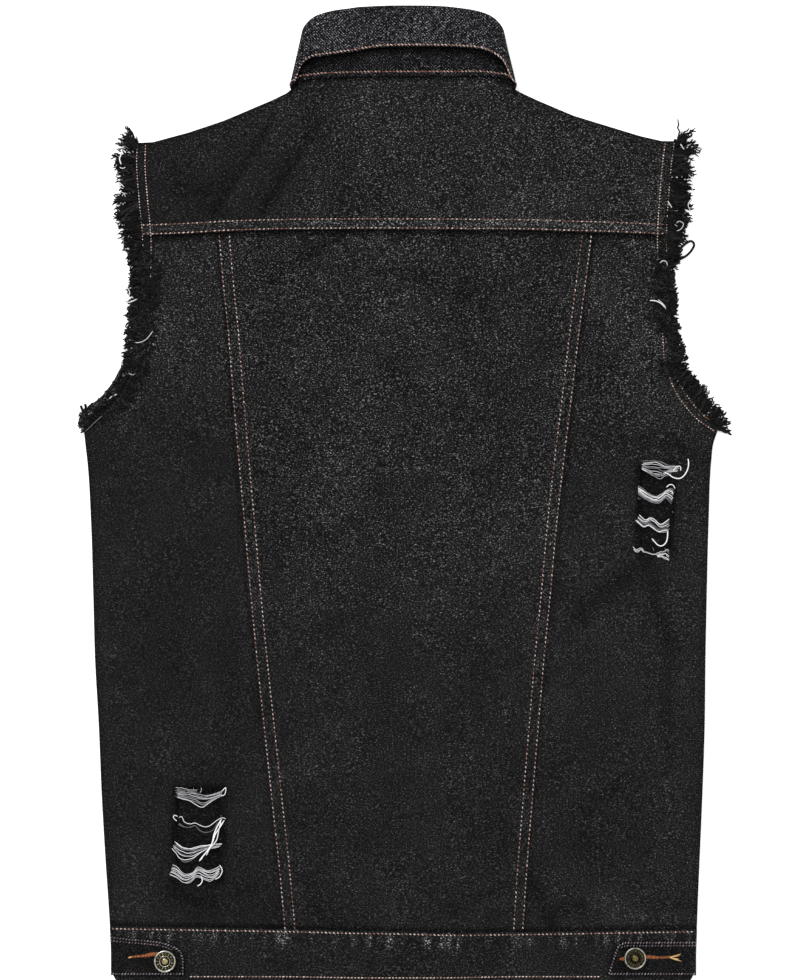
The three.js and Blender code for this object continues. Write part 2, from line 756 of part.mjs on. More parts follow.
// A raw armhole edge: a narrow strip of loosened weave with its threads standing out of it.
function makeFray(side, layer) {
  const outward = side === "left" ? -1 : 1;
  const isBack = layer === "back";
  const tuck = isBack ? 0 : -FRONT_TUCK * outward;
  const base = isBack ? CLOTH + SEAM_GAP : 0;
  const seed = (isBack ? 1 : 2) + (side === "left" ? 4 : 0);
  const line = ARMHOLES.map((row) => new THREE.Vector2(row[side] + tuck, row.height));
  line[0].y += SEAM_GAP;
  const normals = line.map((_, i) => {
    const [before, after] = [line[Math.max(0, i - 1)], line[Math.min(line.length - 1, i + 1)]];
    const run = after.clone().sub(before).normalize();
    return new THREE.Vector2(outward * run.y, -outward * run.x);
  });
  const miter = (i, distance) => {
    const neighbour = line[Math.min(i + 1, line.length - 1)].clone().sub(line[Math.max(0, i - 1)]);
    const corner = i > 0 && i < line.length - 1 ? Math.abs(neighbour.normalize().cross(normals[i])) : 1;
    return line[i].clone().addScaledVector(normals[i], distance / corner);
  };
  const strip = (z) => line.map((_, i) => [SEAM_GAP + 0.1, SLEEVE_STRIP].map((d) => {
    const point = miter(i, d);
    return at(point.x, point.y, z);
  }));
  let solid = toSolid(wallBetween(strip(base), strip(base + CLOTH)));
  const lengths = line.map((point, i) => (i ? point.distanceTo(line[i - 1]) : 0));
  const total = lengths.reduce((sum, length) => sum + length, 0);
  for (let n = 0; n < STRANDS_PER_STRIP; n += 1) {
    let rest = ((n + 0.5) / STRANDS_PER_STRIP) * total;
    let i = 1;
    while (i < line.length - 1 && rest > lengths[i]) {
      rest -= lengths[i];
      i += 1;
    }
    const t = Math.min(1, rest / lengths[i]);
    const foot = line[i - 1].clone().lerp(line[i], t);
    const normal = normals[i - 1].clone().lerp(normals[i], t).normalize();
    const share = (n + 0.5) / STRANDS_PER_STRIP;
    const atShoulder = smoothstep(share, FAN.shoulderFrom, 1);
    const atUnderarm = 1 - smoothstep(share, 0, FAN.underarmTo);
    const fan = FAN.shoulder * atShoulder - FAN.underarm * atUnderarm;
    const swing = SWING.size * Math.sin(n * SWING.pace + seed) + SWING.uneven * uneven(n, seed);
    const turned = degToRad(outward * (fan + swing));
    const direction = normal.clone().rotateAround(new THREE.Vector2(), turned);
    const longest = read(FRAY, "height", side, foot.y);
    const reach = SLEEVE_STRIP + (longest - SLEEVE_STRIP) * (0.72 + 0.28 * uneven(n, seed + 9));
    const raised = base + CLOTH / 2 + 0.25 * (n % 2 ? 1 : -1);
    const lifted = isBack ? 0.4 + 0.7 * uneven(n, seed + 3) : 0.15 * uneven(n, seed + 3);
    const place = (distance, z) => {
      const point = foot.clone().addScaledVector(direction, distance);
      return at(point.x, point.y, z);
    };
    const bend = Math.max(SLEEVE_STRIP + LEAST_REACH.middle, reach * 0.6);
    const end = Math.max(SLEEVE_STRIP + LEAST_REACH.tip, reach);
    const root = place(SLEEVE_STRIP - ROOT_INSET, raised);
    const middle = place(bend, raised + (isBack ? 0.4 : 0.1) + lifted);
    const tip = place(end, Math.max(TIP_CLEARANCE, raised + 1.4 * lifted));
    solid = solid.add(toSolid(makeStrand(root, middle, tip, STRAND_RADIUS)));
  }
  return toGeometry(solid);
}

const DENIM = { color: 0x242426, roughness: 0.96, metalness: 0 };
const LOOSE_THREAD = { color: 0x1b1b1c, roughness: 1, metalness: 0 };
const BUTTON_METAL = { color: 0x8d8778, roughness: 0.38, metalness: 1 };

const vest = new THREE.Group();

// Adds one named piece.
function add(name, geometry, finish) {
  const mesh = new THREE.Mesh(geometry, new THREE.MeshStandardMaterial(finish));
  mesh.name = name;
  vest.add(mesh);
  return mesh;
}

add("back_yoke", makeYoke(), DENIM);
add("centre_back", makeCentreBack(), DENIM);
add("placket", makePlacket(), DENIM);
add("collar", makeCollar(), DENIM);
add("waistband_back", makeBand(edge("left"), edge("right"), bandLevel, BAND_STEPS.back), DENIM);
for (const side of ["left", "right"]) {
  add(`side_back_${side}`, makeSideBack(side), DENIM);
  add(`front_${side}`, makeFront(side), DENIM);
  add(`waistband_front_${side}`, makeFrontBand(side), DENIM);
  add(`tab_${side}`, makeTab(side), DENIM);
  for (const layer of ["back", "front"]) {
    add(`fray_${layer}_${side}`, makeFray(side, layer), LOOSE_THREAD);
  }
}
for (const { side, x, height } of TAB_BUTTONS) {
  const button = add(`tab_button_${side}`, buttonHead(DETAILED_HEAD, BUTTON_RISE, 20), BUTTON_METAL);
  button.position.copy(at(x, height, bandLevel(x) + 2 * BAND_WALL + 2 * SEAM_GAP));
}
FRONT_BUTTON_HEIGHTS.forEach((height, i) => {
  const button = add(`front_button_${i + 1}`, buttonHead(PLAIN_HEAD, FRONT_HEAD, 12), BUTTON_METAL);
  button.rotation.x = Math.PI;
  button.position.copy(at(0, height, FRONT_HEAD));
});

export default vest;
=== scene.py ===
# Looks of a black denim vest with cut-off sleeves that lies flat on its front.
# Sizes are in millimetres in the garment's own terms: x across, height above the hem, z up.
# MM turns them into metres.
import math

import bpy
import numpy as np
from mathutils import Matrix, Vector


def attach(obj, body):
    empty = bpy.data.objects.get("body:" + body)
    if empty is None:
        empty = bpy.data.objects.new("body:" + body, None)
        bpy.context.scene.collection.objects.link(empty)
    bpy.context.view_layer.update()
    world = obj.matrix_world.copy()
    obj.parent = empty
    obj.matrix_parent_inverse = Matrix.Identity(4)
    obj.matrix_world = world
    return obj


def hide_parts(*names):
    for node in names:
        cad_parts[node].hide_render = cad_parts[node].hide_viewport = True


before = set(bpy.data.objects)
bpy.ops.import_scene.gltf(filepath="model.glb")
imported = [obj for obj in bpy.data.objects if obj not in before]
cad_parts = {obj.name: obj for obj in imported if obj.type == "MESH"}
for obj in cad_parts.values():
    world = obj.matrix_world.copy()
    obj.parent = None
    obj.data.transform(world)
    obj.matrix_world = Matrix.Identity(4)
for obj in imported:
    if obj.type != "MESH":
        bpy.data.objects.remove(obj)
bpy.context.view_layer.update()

MM = 0.001
ORIGIN_HEIGHT = 370.5
SEAM_GAP = 0.3
CLOTH = 1.4
BAND_WALL = 2.4
COLLAR_WALL = 2.0
BUTTON_RADIUS = 8.5
BUTTON_RISE = 3.0
FRONT_HEAD = 2.2
OVERLAP_HALF = 20.0
WAIST_REFERENCE = 38.0
YOKE_REFERENCE = 567.0
SHOULDER_REFERENCE = 638.0
UNDERARM = 420.5
NECK_LEFT, NECK_RIGHT = -85.6, 88.2
FRONT_NECK_TOP = 676.0
FRONT_NECK_DROP = 70.0
SEAM_HALF_WIDTH = 82.5
COLLAR_MIDDLE = 1.5
SHOULDER_COSINE = 0.93
FOLD_DEPTH = 1.1
CREASE_DEPTH = 1.2
# How much painted shade a fold and a crease get, in steps of twice as bright.
FOLD_SHADE = 0.14
CREASE_SHADE = 1.1
LAP = 0.6
SWELL = 1.9
TUCK = 3.0
rng = np.random.default_rng(11)


def smoothed(*rows, steps=10):
    """A table whose corners are rounded: its rows joined by Hermite arcs."""
    table = np.array(rows, float)
    at = table[:, 0]
    slopes = np.gradient(table[:, 1:], at, axis=0)
    s = np.linspace(0, 1, steps, endpoint=False)[:, None]
    parts = []
    for i in range(len(table) - 1):
        width = at[i + 1] - at[i]
        values = (2 * s**3 - 3 * s**2 + 1) * table[i, 1:] + (s**3 - 2 * s**2 + s) * width * slopes[i]
        values = values + (3 * s**2 - 2 * s**3) * table[i + 1, 1:] + (s**3 - s**2) * width * slopes[i + 1]
        parts.append(np.hstack([at[i] + width * s, values]))
    return np.vstack(parts + [table[-1:]])


# height, left x, right x of the side seams.
SIDES = smoothed(
    (0, -216.5, 220), (3, -218.5, 221.8), (9, -219.8, 223.4), (28, -221.2, 225),
    (40, -221.9, 225.4), (86, -225, 227.3), (137, -228, 229.5), (194, -230.4, 231.4),
    (244, -233.2, 232), (295, -234.6, 233), (350, -236.3, 234.4), (397, -239.2, 236.5),
    (409, -240.6, 237.9), (420.5, -241.7, 241.8),
)
# height, left x, right x of the raw armhole edges.
ARMHOLES = smoothed(
    (420.5, -241.7, 241.8), (424, -239.5, 240), (429, -233.5, 234.5), (437, -225, 226),
    (446, -218, 219), (456, -212, 213), (466, -208.5, 210.2), (496, -203, 207.5),
    (530, -199.5, 205), (567, -199, 203.4), (596, -201.6, 205), (622, -203.4, 207.2),
    (638, -203, 209.3),
)
# height, longest thread of the fray on the left, on the right. The left underarm is rolled over,
# so its threads are short.
FRAY = np.array([
    (420, 2, 11), (430, 3, 15), (450, 4, 16), (465, 5, 13), (480, 10, 11), (500, 9, 6),
    (520, 11, 7), (540, 10, 6), (555, 15, 14), (575, 20, 19), (630, 20, 21), (640, 16, 17),
], float)
# height, left x, right x of the princess seams.
PRINCESS = smoothed(
    (30, -88.9, 93.4), (38, -89.5, 93.9), (86, -93.8, 97), (137, -99.3, 101), (194, -105.4, 105.7),
    (244, -110.7, 109.9), (295, -115.6, 114.9), (350, -120.4, 119.8), (397, -124.7, 125.1),
    (437, -128.2, 130), (496, -132.8, 136.9), (530, -136.3, 141.3), (567, -139.5, 146),
    (580, -140.6, 147.6),
)
# x, height of the shoulders and the neck seam.
TOP_EDGE = np.array([
    (-205, 638.2), (-189, 639), (-178, 642), (-162, 646.3), (-136, 655), (-97.3, 670.8),
    (-85.6, 676.6), (-83.6, 678.8), (-81, 682.5), (-76, 686), (-70, 688), (-60, 689),
    (-38, 689.6), (-19, 689.9), (0, 690), (19, 690), (38, 690), (61, 690.4), (72, 689.6),
    (79, 687.4), (84, 684), (86.5, 679), (88.2, 677.6), (104, 670.3), (132, 659),
    (145, 655), (182, 643.7), (199, 639.8), (211, 639.8),
], float)
# x, height of the yoke's lower edge and of the waistband's upper edge.
YOKE_EDGE = smoothed(
    (-205, 566.5), (-162, 567.9), (-137, 569.3), (-97, 570.4), (-48, 570.8), (0, 570.7), (48, 570.6),
    (95, 570.3), (126, 569.6), (166, 568.5), (205, 567),
)
WAIST_EDGE = smoothed(
    (-225, 41.8), (-140, 40.4), (-55, 39.2), (0, 38.6), (48, 37.3), (100, 37.4), (150, 38.2), (228, 39.5),
)
# x, roll, edge of the collar seen from behind.
COLLAR_BACK = smoothed(
    (-81, 730.2, 682.5), (-76, 733.1, 695.6), (-70, 735, 700.9), (-60, 737.2, 703.2), (-48, 738.6, 704.8),
    (-38, 739.8, 706.2), (-28, 740.3, 708), (-19, 740.7, 709.5), (0, 741, 710.4), (19, 741, 710.5),
    (38, 740.4, 710.2), (52, 739.1, 709.4), (61, 738, 708.4), (72, 735.8, 703.6), (79, 733.4, 697),
    (84, 730.4, 685),
)
# x, height of the tabs' upper edge, left tab then right tab.
TAB_LEFT = np.array([
    (-220.6, 35), (-206, 33.4), (-192, 32.3), (-184.7, 31.5), (-177.8, 29.8), (-171, 27),
    (-166.5, 23.6), (-164.6, 17),
], float)
TAB_RIGHT = np.array([
    (157.8, 9), (161.5, 21), (164.5, 28.5), (170, 31), (181.6, 31), (203, 31.1), (224.4, 31.2),
], float)
TAB_BOTTOM = 4.8
TAB_BUTTONS = {"left": (-179.4, 16.0), "right": (177.8, 18.2)}
FRONT_BUTTON_HEIGHTS = (19, 110, 225, 340, 455, 570)
# from x, from height, to x, to height, width, depth: troughs are positive, ridges negative.
FOLDS = np.array([
    (-108, 661, -141, 594, 9, 1.5), (-90, 655, -122, 596, 8, -0.8), (-80, 628, -99, 588, 8, 1.3),
    (-47, 640, -35, 590, 12, 0.7), (-52, 566, -101, 532, 9, 1.1), (-26, 546, 26, 530, 9, 1.2),
    (-118, 470, 64, 486, 22, -0.9), (-108, 392, 30, 404, 16, 0.7), (52, 566, 60, 520, 10, 0.9),
    (140, 415, 184, 408, 8, 1.2), (143, 290, 196, 314, 9, 1.3), (198, 300, 203, 205, 7, 1.1),
    (-172, 300, -160, 190, 14, 0.8), (-175, 66, -128, 58, 10, 1.2), (40, 70, 78, 96, 9, 1.1),
    (112, 66, 140, 52, 9, 1.2), (-72, 92, -56, 56, 8, 1.0), (150, 120, 205, 84, 14, 0.9),
], float)

# The finer creases: from x, from height, to x, to height, width, how deep and how much painted shade.
# Negative ones are ridges, painted paler.
CREASES = np.array([
    (-98, 655, -141, 587, 3.4, 0.75), (-62, 652, -105.6, 586.7, 3.4, 0.6), (-42, 625, -42, 585, 6, 0.35),
    (-165, 602, -150, 603, 7, 0.35), (-28, 684, -25, 630, 4, -0.2), (-46.4, 567, -99.6, 533.5, 3.4, 0.5),
    (-58, 684, -68, 660, 4, 0.25), (180, 605, 186, 595, 4, -0.3),
    (-16, 541, 14.4, 535, 5, 0.55), (14.4, 535, 23.6, 518, 4, 0.35), (39.5, 570, 47, 518, 3.4, 0.5),
    (47, 518, 52, 484, 7, 0.25), (63.8, 504.6, 105.6, 484, 11, 0.22),
    (147.4, 561.6, 172.5, 558.6, 4.5, 0.5),
    (-88, 503, -54, 491.7, 9, 0.18), (-4.6, 463.6, 6.8, 453.7, 7, 0.25), (-90.4, 329.8, -19.8, 351, 8, 0.22),
    (-131.5, 260, -131.5, 150, 9, 0.28), (185.4, 320.7, 139.8, 281, 6, 0.45),
    (189.2, 320.7, 202.9, 260, 5, 0.5), (202.9, 260, 206, 168.7, 5, 0.3),
    (-8.4, 149.7, 58.5, 165, 6, 0.18), (109.4, 146, 151, 92.7, 16, 0.2),
    (132, 127, 174, 151, 6, 0.25), (38.8, 56, 79, 73, 5, 0.35), (99.6, 77.5, 114.8, 43.3, 4.5, 0.6),
    (114.8, 51, 139.8, 58.5, 5, 0.5), (-74.5, 76, -61.6, 48.6, 4, 0.4), (193, 58.5, 225, 62, 6, 0.35),
    (-128, 100, -105.6, 58.5, 14, 0.2), (-169.5, 63.8, -145, 58.5, 6, 0.5), (167, 415, 212, 407, 5, 0.35),
    (205, 415, 218, 399, 3, 0.3), (162, 627, 176, 598, 4, 0.22), (-201, 95, -203, 60, 15, -0.25),
    (165, 545, 190, 455, 20, -0.2), (150, 60, 170, 50, 9, -0.3), (30, 100, 60, 60, 14, -0.15),
    (-60, 560, -60, 525, 12, -0.12), (60, 640, 110, 600, 30, -0.12),
], float)

LEFT_FRONT_LEVEL = FRONT_HEAD + CLOTH + 2 * SEAM_GAP
RIGHT_FRONT_LEVEL = LEFT_FRONT_LEVEL + CLOTH + SEAM_GAP
LEFT_BAND_LEVEL = FRONT_HEAD + SEAM_GAP
RIGHT_BAND_LEVEL = LEFT_BAND_LEVEL + BAND_WALL + SEAM_GAP
COLLAR_CENTRE = 5.9
STAND_RADIUS = 1.9
FALL_RADIUS = 4.7
NECK_LEVEL = COLLAR_CENTRE + STAND_RADIUS - CLOTH / 2
COLLAR_CLEARANCE = COLLAR_CENTRE - STAND_RADIUS - CLOTH / 2


def step(value, low, high):
    """0 below low, 1 above high and a smooth ramp between them."""
    t = np.clip((value - low) / (high - low), 0, 1)
    return t * t * (3 - 2 * t)


def near(distance, reach):
    """1 at a distance of 0, fading out over about the reach to both sides."""
    return np.exp(-((distance / reach) ** 2))


def column(table, index, at):
    return np.interp(at, table[:, 0], table[:, index])


SIDES_IN_TURN = ("left", "right")
SIDE_COLUMN = {"left": 1, "right": 2}


def outline(side, height):
    k = SIDE_COLUMN[side]
    return np.where(np.asarray(height) < UNDERARM, column(SIDES, k, height), column(ARMHOLES, k, height))


def top_edge(x):
    return column(TOP_EDGE, 1, x)


def yoke_edge(x):
    return column(YOKE_EDGE, 1, x)


def waist_edge(x):
    return column(WAIST_EDGE, 1, x)


def princess(side, height):
    return column(PRINCESS, SIDE_COLUMN[side], height)


def inside_princess(x, height):
    """Distance from the nearer princess seam towards the middle."""
    return np.minimum(x - princess("left", height), princess("right", height) - x)


def outside_princess(x, height):
    """Distance from the princess seam towards the side."""
    return np.where(x < 0, princess("left", height) - x, x - princess("right", height))


def tucked_waist(x):
    return waist_edge(x) - TUCK


def tucked_yoke(x):
    return yoke_edge(x) + TUCK


def lumps(x, height, size, seed):
    """Smooth uneven values between -1 and 1 that change over a given distance."""
    table = np.random.default_rng(seed).uniform(-1, 1, (128, 128))
    u, v = x / size + 64.37, height / size + 17.11
    i, j = np.floor(u).astype(int), np.floor(v).astype(int)
    fu, fv = u - i, v - j
    fu, fv = fu * fu * (3 - 2 * fu), fv * fv * (3 - 2 * fv)
    i0, i1, j0, j1 = i % 128, (i + 1) % 128, j % 128, (j + 1) % 128
    low = table[i0, j0] * (1 - fu) + table[i1, j0] * fu
    high = table[i0, j1] * (1 - fu) + table[i1, j1] * fu
    return low * (1 - fv) + high * fv


def middle_lift(x):
    return 1 - step(np.abs(x), OVERLAP_HALF + 4, 95)


def collar_lift(x, height):
    return (1 - step(np.abs(x), 94, 135)) * step(height, 505, 541)


def front_level(centre_level, x, height):
    return np.maximum(centre_level * middle_lift(x), COLLAR_CLEARANCE * collar_lift(x, height))


def outline_distance(x, height):
    """Distance from the outline of the body, leaving out the neck."""
    low = np.minimum(height, SHOULDER_REFERENCE)
    side = np.where(x < 0, outline("left", low), outline("right", low))
    across = np.abs(side - x)
    corner = np.hypot(np.minimum(x - NECK_LEFT, NECK_RIGHT - x), TOP_EDGE[6, 1] - height)
    below = (top_edge(x) - height) * SHOULDER_COSINE
    reach = np.where((x > NECK_LEFT) & (x < NECK_RIGHT), corner, below)
    return np.maximum(0, np.minimum(across, reach))


def fold_depth(x, height, folds=FOLDS, wander=2.5, fade=2.0):
    """Depth of soft folds, which wander a little and fade out over some widths at both ends."""
    depth = np.zeros(np.broadcast(x, height).shape)
    for x0, h0, x1, h1, width, deep in folds:
        length = math.hypot(x1 - x0, h1 - h0)
        along = ((x - x0) * (x1 - x0) + (height - h0) * (h1 - h0)) / length
        aside = ((x - x0) * (h1 - h0) - (height - h0) * (x1 - x0)) / length
        aside = aside + wander * lumps(x, height, 24, 5)
        beyond = np.maximum(0, np.maximum(-along, along - length))
        depth = depth + deep * np.exp(-((aside / width) ** 2) - (beyond / (fade * width)) ** 2)
    return depth


def crease_depth(x, height):
    return fold_depth(x, height, CREASES, 1.4, 1.6)


def back_level(x, height):
    """Underside of the back: on the fronts at the outline, with a soft swell and folds inside."""
    centre = RIGHT_FRONT_LEVEL * middle_lift(x) * (1 - step(height, 600, 650))
    collar = COLLAR_CLEARANCE * collar_lift(x, height)
    neck_width = 1 - step(np.abs(x), 80, 150)
    neck = (NECK_LEVEL - CLOTH - SEAM_GAP) * neck_width * step(height, 560, 650)
    fronts = CLOTH + SEAM_GAP + np.maximum(centre, collar)
    stack = CLOTH + SEAM_GAP + (centre**4 + collar**4 + neck**4) ** 0.25
    distance = outline_distance(x, height)
    at_neck = step(height, 650, 688) * neck_width
    uneven = 0.6 * lumps(x, height, 46, 1) + 0.35 * lumps(x, height, 21, 2) + 0.12 * lumps(x, height, 9, 12)
    swell = SWELL * step(distance, 4, 60) * step(height, WAIST_REFERENCE, 66)
    folds = FOLD_DEPTH * fold_depth(x, height) + CREASE_DEPTH * crease_depth(x, height)
    folded = np.maximum(0, swell + (uneven - folds) * step(distance, 0, 12))
    inside = step(distance, 0, 16)
    level = fronts + (stack + folded * (1 - at_neck) - fronts) * inside
    return level + 0.8 * (1 - step(height, WAIST_REFERENCE, 72))


def pucker(along, distance, reach, depth, seed):
    """The small uneven gathers that a row of stitches pulls into the cloth beside it."""
    wave = lumps(along, along * 0 + seed, 5.2, seed) + 0.6 * lumps(along, along * 0 + seed, 2.6, seed + 1)
    return depth * wave * near(distance, reach)


def seam_groove(distance, reach, depth):
    return -depth * near(distance, reach)


def band_level(x, height):
    """Underside of the back waistband."""
    flat = BAND_WALL + SEAM_GAP + RIGHT_BAND_LEVEL * middle_lift(x)
    near_top = near(waist_edge(x) - height - 5, 4.5)
    gathers = near_top * 0.45 * lumps(x, height * 0 + 9, 6.3, 9)
    return flat + gathers + 0.25 * lumps(x, height, 19, 10) * step(height, 2, 12)


def under_band(level, x, height):
    """Cloth that goes in under the upper edge of the waistband."""
    beside = 1 - step(height - waist_edge(x), 0.4, 12)
    return level - beside * np.maximum(0, level - band_level(x, height) - 0.4)


def under_collar(x, height):
    """How far the yoke dips to go in under the collar's stand."""
    beside = 1 - step(np.abs(x - COLLAR_MIDDLE), 72, 80)
    return 1.5 * step(height, top_edge(x) - 6, top_edge(x) - 1.5) * beside


def yoke_level(x, height):
    lap = LAP * (1 - step(height - yoke_edge(x), 9, 18))
    rise = lap * step(outline_distance(x, height), 0, 8)
    seam = height - yoke_edge(x)
    return back_level(x, height) + rise + pucker(x, seam - 6, 7, 0.3, 3) - under_collar(x, height)


def centre_level(x, height):
    seam = inside_princess(x, height)
    under_yoke = yoke_edge(x) - height
    rise = LAP * (1 - step(seam, 9, 16)) * step(under_yoke, 0, 6)
    gather = pucker(height, seam - 5, 7, 0.28, 4) + pucker(x, under_yoke, 9, 0.3, 6)
    gather = gather + pucker(x, height - waist_edge(x), 14, 0.5, 8)
    groove = seam_groove(under_yoke, 2.0, 0.35)
    return under_band(back_level(x, height) + rise + gather + groove, x, height)


def side_level(x, height):
    seam = outside_princess(x, height)
    under_yoke = yoke_edge(x) - height
    groove = seam_groove(seam, 2.2, 0.4) + seam_groove(under_yoke, 2.0, 0.35)
    gather = pucker(height, seam, 9, 0.3, 4) + pucker(x, under_yoke, 9, 0.3, 6)
    gather = gather + pucker(x, height - waist_edge(x), 14, 0.5, 8)
    return under_band(back_level(x, height) + gather + groove, x, height)


def left_front_level(x, height):
    return front_level(LEFT_FRONT_LEVEL, x, height)


def right_front_level(x, height):
    return front_level(RIGHT_FRONT_LEVEL, x, height)


# Mesh makers

EDGE_STEPS = (0.0, 0.25, 0.6, 1.1)


def stations(low, high, spacing):
    """Values from low to high, close together at both ends for a rounded edge."""
    inner = np.linspace(low + 1.8, high - 1.8, max(2, round((high - low - 3.6) / spacing) + 1))
    return np.concatenate([low + np.array(EDGE_STEPS), inner, high - np.array(EDGE_STEPS)[::-1]])


def add_object(name, mesh, material):
    piece = bpy.data.objects.new(name, mesh)
    bpy.context.scene.collection.objects.link(piece)
    if material:
        mesh.materials.append(material)
    mesh.shade_smooth()
    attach(piece, "root")
    return piece


def mesh_from(name, points, faces):
    mesh = bpy.data.meshes.new(name)
    mesh.from_pydata((points * MM).tolist(), [], faces)
    mesh.update()
    return mesh


def add_value(mesh, name, values):
    layer = mesh.attributes.new(name, "FLOAT", "POINT")
    layer.data.foreach_set("value", np.asarray(values, np.float32))


def shell_mesh(name, lower, upper, shade=None):
    """One closed shell between two grids of points, in millimetres, with y already set."""
    down, across = lower.shape[:2]
    points = np.concatenate([lower.reshape(-1, 3), upper.reshape(-1, 3)])
    index = np.arange(2 * down * across).reshape(2, down, across)
    under, over = index
    faces = [np.stack(corners, -1).reshape(-1, 4) for corners in (
        (over[:-1, :-1], over[:-1, 1:], over[1:, 1:], over[1:, :-1]),
        (under[:-1, :-1], under[1:, :-1], under[1:, 1:], under[:-1, 1:]))]
    for a, b in ((under[0], over[0]), (under[-1, ::-1], over[-1, ::-1]),
                 (under[::-1, 0], over[::-1, 0]), (under[:, -1], over[:, -1])):
        faces.append(np.stack([a[:-1], a[1:], b[1:], b[:-1]], -1))
    mesh = mesh_from(name, points, np.concatenate(faces).tolist())
    if shade is not None:
        for layer, values in zip(("shade", "worn"), shade):
            values = np.broadcast_to(values, lower.shape[:2]).ravel()
            add_value(mesh, layer, np.concatenate([values, values]))
    return mesh


def rounding(distance, radius=1.1):
    """Share of the full thickness that is left at a distance from the edge."""
    inwards = 1 - np.clip(distance / radius, 0, 1)
    return 0.25 + 0.75 * np.sqrt(1 - inwards**2)


def panel_mesh(name, heights, columns, left, right, bottom, top, level, thick=CLOTH, ease=4, shade=None):
    """A flat-cut piece of cloth whose rows run between two outlines and columns between two edges."""
    heights = np.asarray(heights, float)[:, None]
    first, last = heights[0, 0], heights[-1, 0]
    v = (heights - first) / (last - first)
    low, high = left(heights), right(heights)
    x = low + (high - low) * columns[None, :]
    bend = (bottom(x) - first) * (1 - v) ** ease + (top(x) - last) * v**ease
    height = heights + bend
    across = np.minimum(x - x[:, :1], x[:, -1:] - x)
    upright = np.minimum(height - height[:1], height[-1:] - height)
    half = thick / 2 * rounding(np.minimum(across, upright))
    middle = level(x, height) + thick / 2
    y = height - ORIGIN_HEIGHT
    shades = shade(x, height) if shade else None
    return shell_mesh(name, np.stack([x, y, middle - half], -1), np.stack([x, y, middle + half], -1), shades)


def shares(width, spacing):
    """Column positions from 0 to 1 for a panel of about that width."""
    return stations(0, width, spacing) / width


def resample(points, pitch):
    """Points at even distances along a line, with their directions."""
    points = np.asarray(points, float)
    run = np.concatenate([[0], np.cumsum(np.hypot(*np.diff(points, axis=0).T))])
    count = max(2, int(run[-1] / pitch))
    at = (np.arange(count) + 0.5) * run[-1] / count
    place = np.stack([np.interp(at, run, points[:, k]) for k in (0, 1)], -1)
    ahead = np.stack([np.interp(at + 0.5, run, points[:, k]) for k in (0, 1)], -1)
    behind = np.stack([np.interp(at - 0.5, run, points[:, k]) for k in (0, 1)], -1)
    direction = ahead - behind
    return place, direction / np.linalg.norm(direction, axis=1)[:, None]


# Distance from one pale stitch to the next.
STITCH_PITCH = 3.4
BAND_PITCH = 3.05
HEM_PITCH = 2.6
LOOP_PITCH = 2.3
ARMHOLE_PITCH = 2.2
TAB_PITCH = 2.3
TAB_INNER_PITCH = 4.3
COLLAR_PITCH = 2.74
# How far the painted shade line in the groove under a row of stitches lies below their tops.
GROOVE_DEPTH = 0.85


def stitch_row(points, level, top, slant=12.0, length=1.6, radius=0.46, pale=0.64, pitch=STITCH_PITCH,
               rust=(0.16, 0.42)):
    """One row of topstitching along a line of (x, height) points, lying on a surface: pale
    dashes with short rust ones between them, over near-black tubes in the pressed groove as painted shade."""
    place, ahead = resample(points, pitch / 2)
    count = len(place)
    between = np.arange(count) % 2 == 1
    turn = math.radians(slant) + rng.normal(0, 0.12, count)
    cosine, sine = np.cos(turn), np.sin(turn)
    leaning = np.stack([ahead[:, 0] * cosine - ahead[:, 1] * sine,
                        ahead[:, 0] * sine + ahead[:, 1] * cosine], -1)
    half = np.where(between, 0.4, 0.5 * length) * rng.uniform(0.8, 1.15, count)
    ends = [place + leaning * (s * half)[:, None] for s in (-1, 1)]
    z = [level(e[:, 0], e[:, 1]) + top - 0.16 * between for e in ends]
    tint = np.where(between, rng.uniform(*rust, count), pale * rng.uniform(0.6, 1.3, count))
    dashes = ends[0], ends[1], z[0], z[1], radius * np.where(between, 0.75, 1.0), tint
    # Near-black tubes along the groove: painted shade under the row.
    edges = [place + s * ahead * pitch / 4 for s in (-1, 1)]
    depths = [level(e[:, 0], e[:, 1]) + top - GROOVE_DEPTH for e in edges]
    groove = *edges, *depths, np.full(count, 1.0), np.zeros(count)
    return [np.concatenate(pair) for pair in zip(dashes, groove)]


# Rings of one stitch: share of its length, share of its radius, how far the ring sinks.
STITCH_RINGS = ((-1, 0.45, 0.5), (-0.72, 0.95, 0.1), (0, 1.05, -0.12), (0.72, 0.95, 0.1), (1, 0.45, 0.5))


def stitches(name, rows, material):
    """All the stitches of some rows as one mesh of small capsules."""
    a, b, za, zb, radius, tint = (np.concatenate(part) for part in zip(*rows))
    sides = 5
    angles = np.arange(sides) * 2 * math.pi / sides
    start = np.column_stack([a[:, 0], a[:, 1] - ORIGIN_HEIGHT, za])
    end = np.column_stack([b[:, 0], b[:, 1] - ORIGIN_HEIGHT, zb])
    run = end - start
    aside = np.column_stack([-run[:, 1], run[:, 0], np.zeros(len(run))])
    aside /= np.linalg.norm(aside, axis=1)[:, None]
    up = np.array([0, 0, 1.0])
    rings = []
    for along, wide, sunk in STITCH_RINGS:
        centre = (start + end) / 2 + run * (along / 2) - up * (sunk * radius)[:, None]
        for angle in angles:
            size = (wide * radius)[:, None]
            rings.append(centre + aside * size * math.cos(angle) + up * size * 0.8 * math.sin(angle))
    points = np.stack(rings, 1)
    per = points.shape[1]
    pattern = []
    for j in range(len(STITCH_RINGS) - 1):
        for k in range(sides):
            n = (k + 1) % sides
            pattern.append((j * sides + k, j * sides + n, (j + 1) * sides + n, (j + 1) * sides + k))
    caps = [tuple(range(sides))[::-1], tuple(range(per - sides, per))]
    faces = []
    for i in range(len(points)):
        faces += [tuple(i * per + q for q in f) for f in pattern + caps]
    mesh = mesh_from(name, points.reshape(-1, 3), faces)
    add_value(mesh, "tint", np.repeat(tint, per))
    return add_object(name, mesh, material)


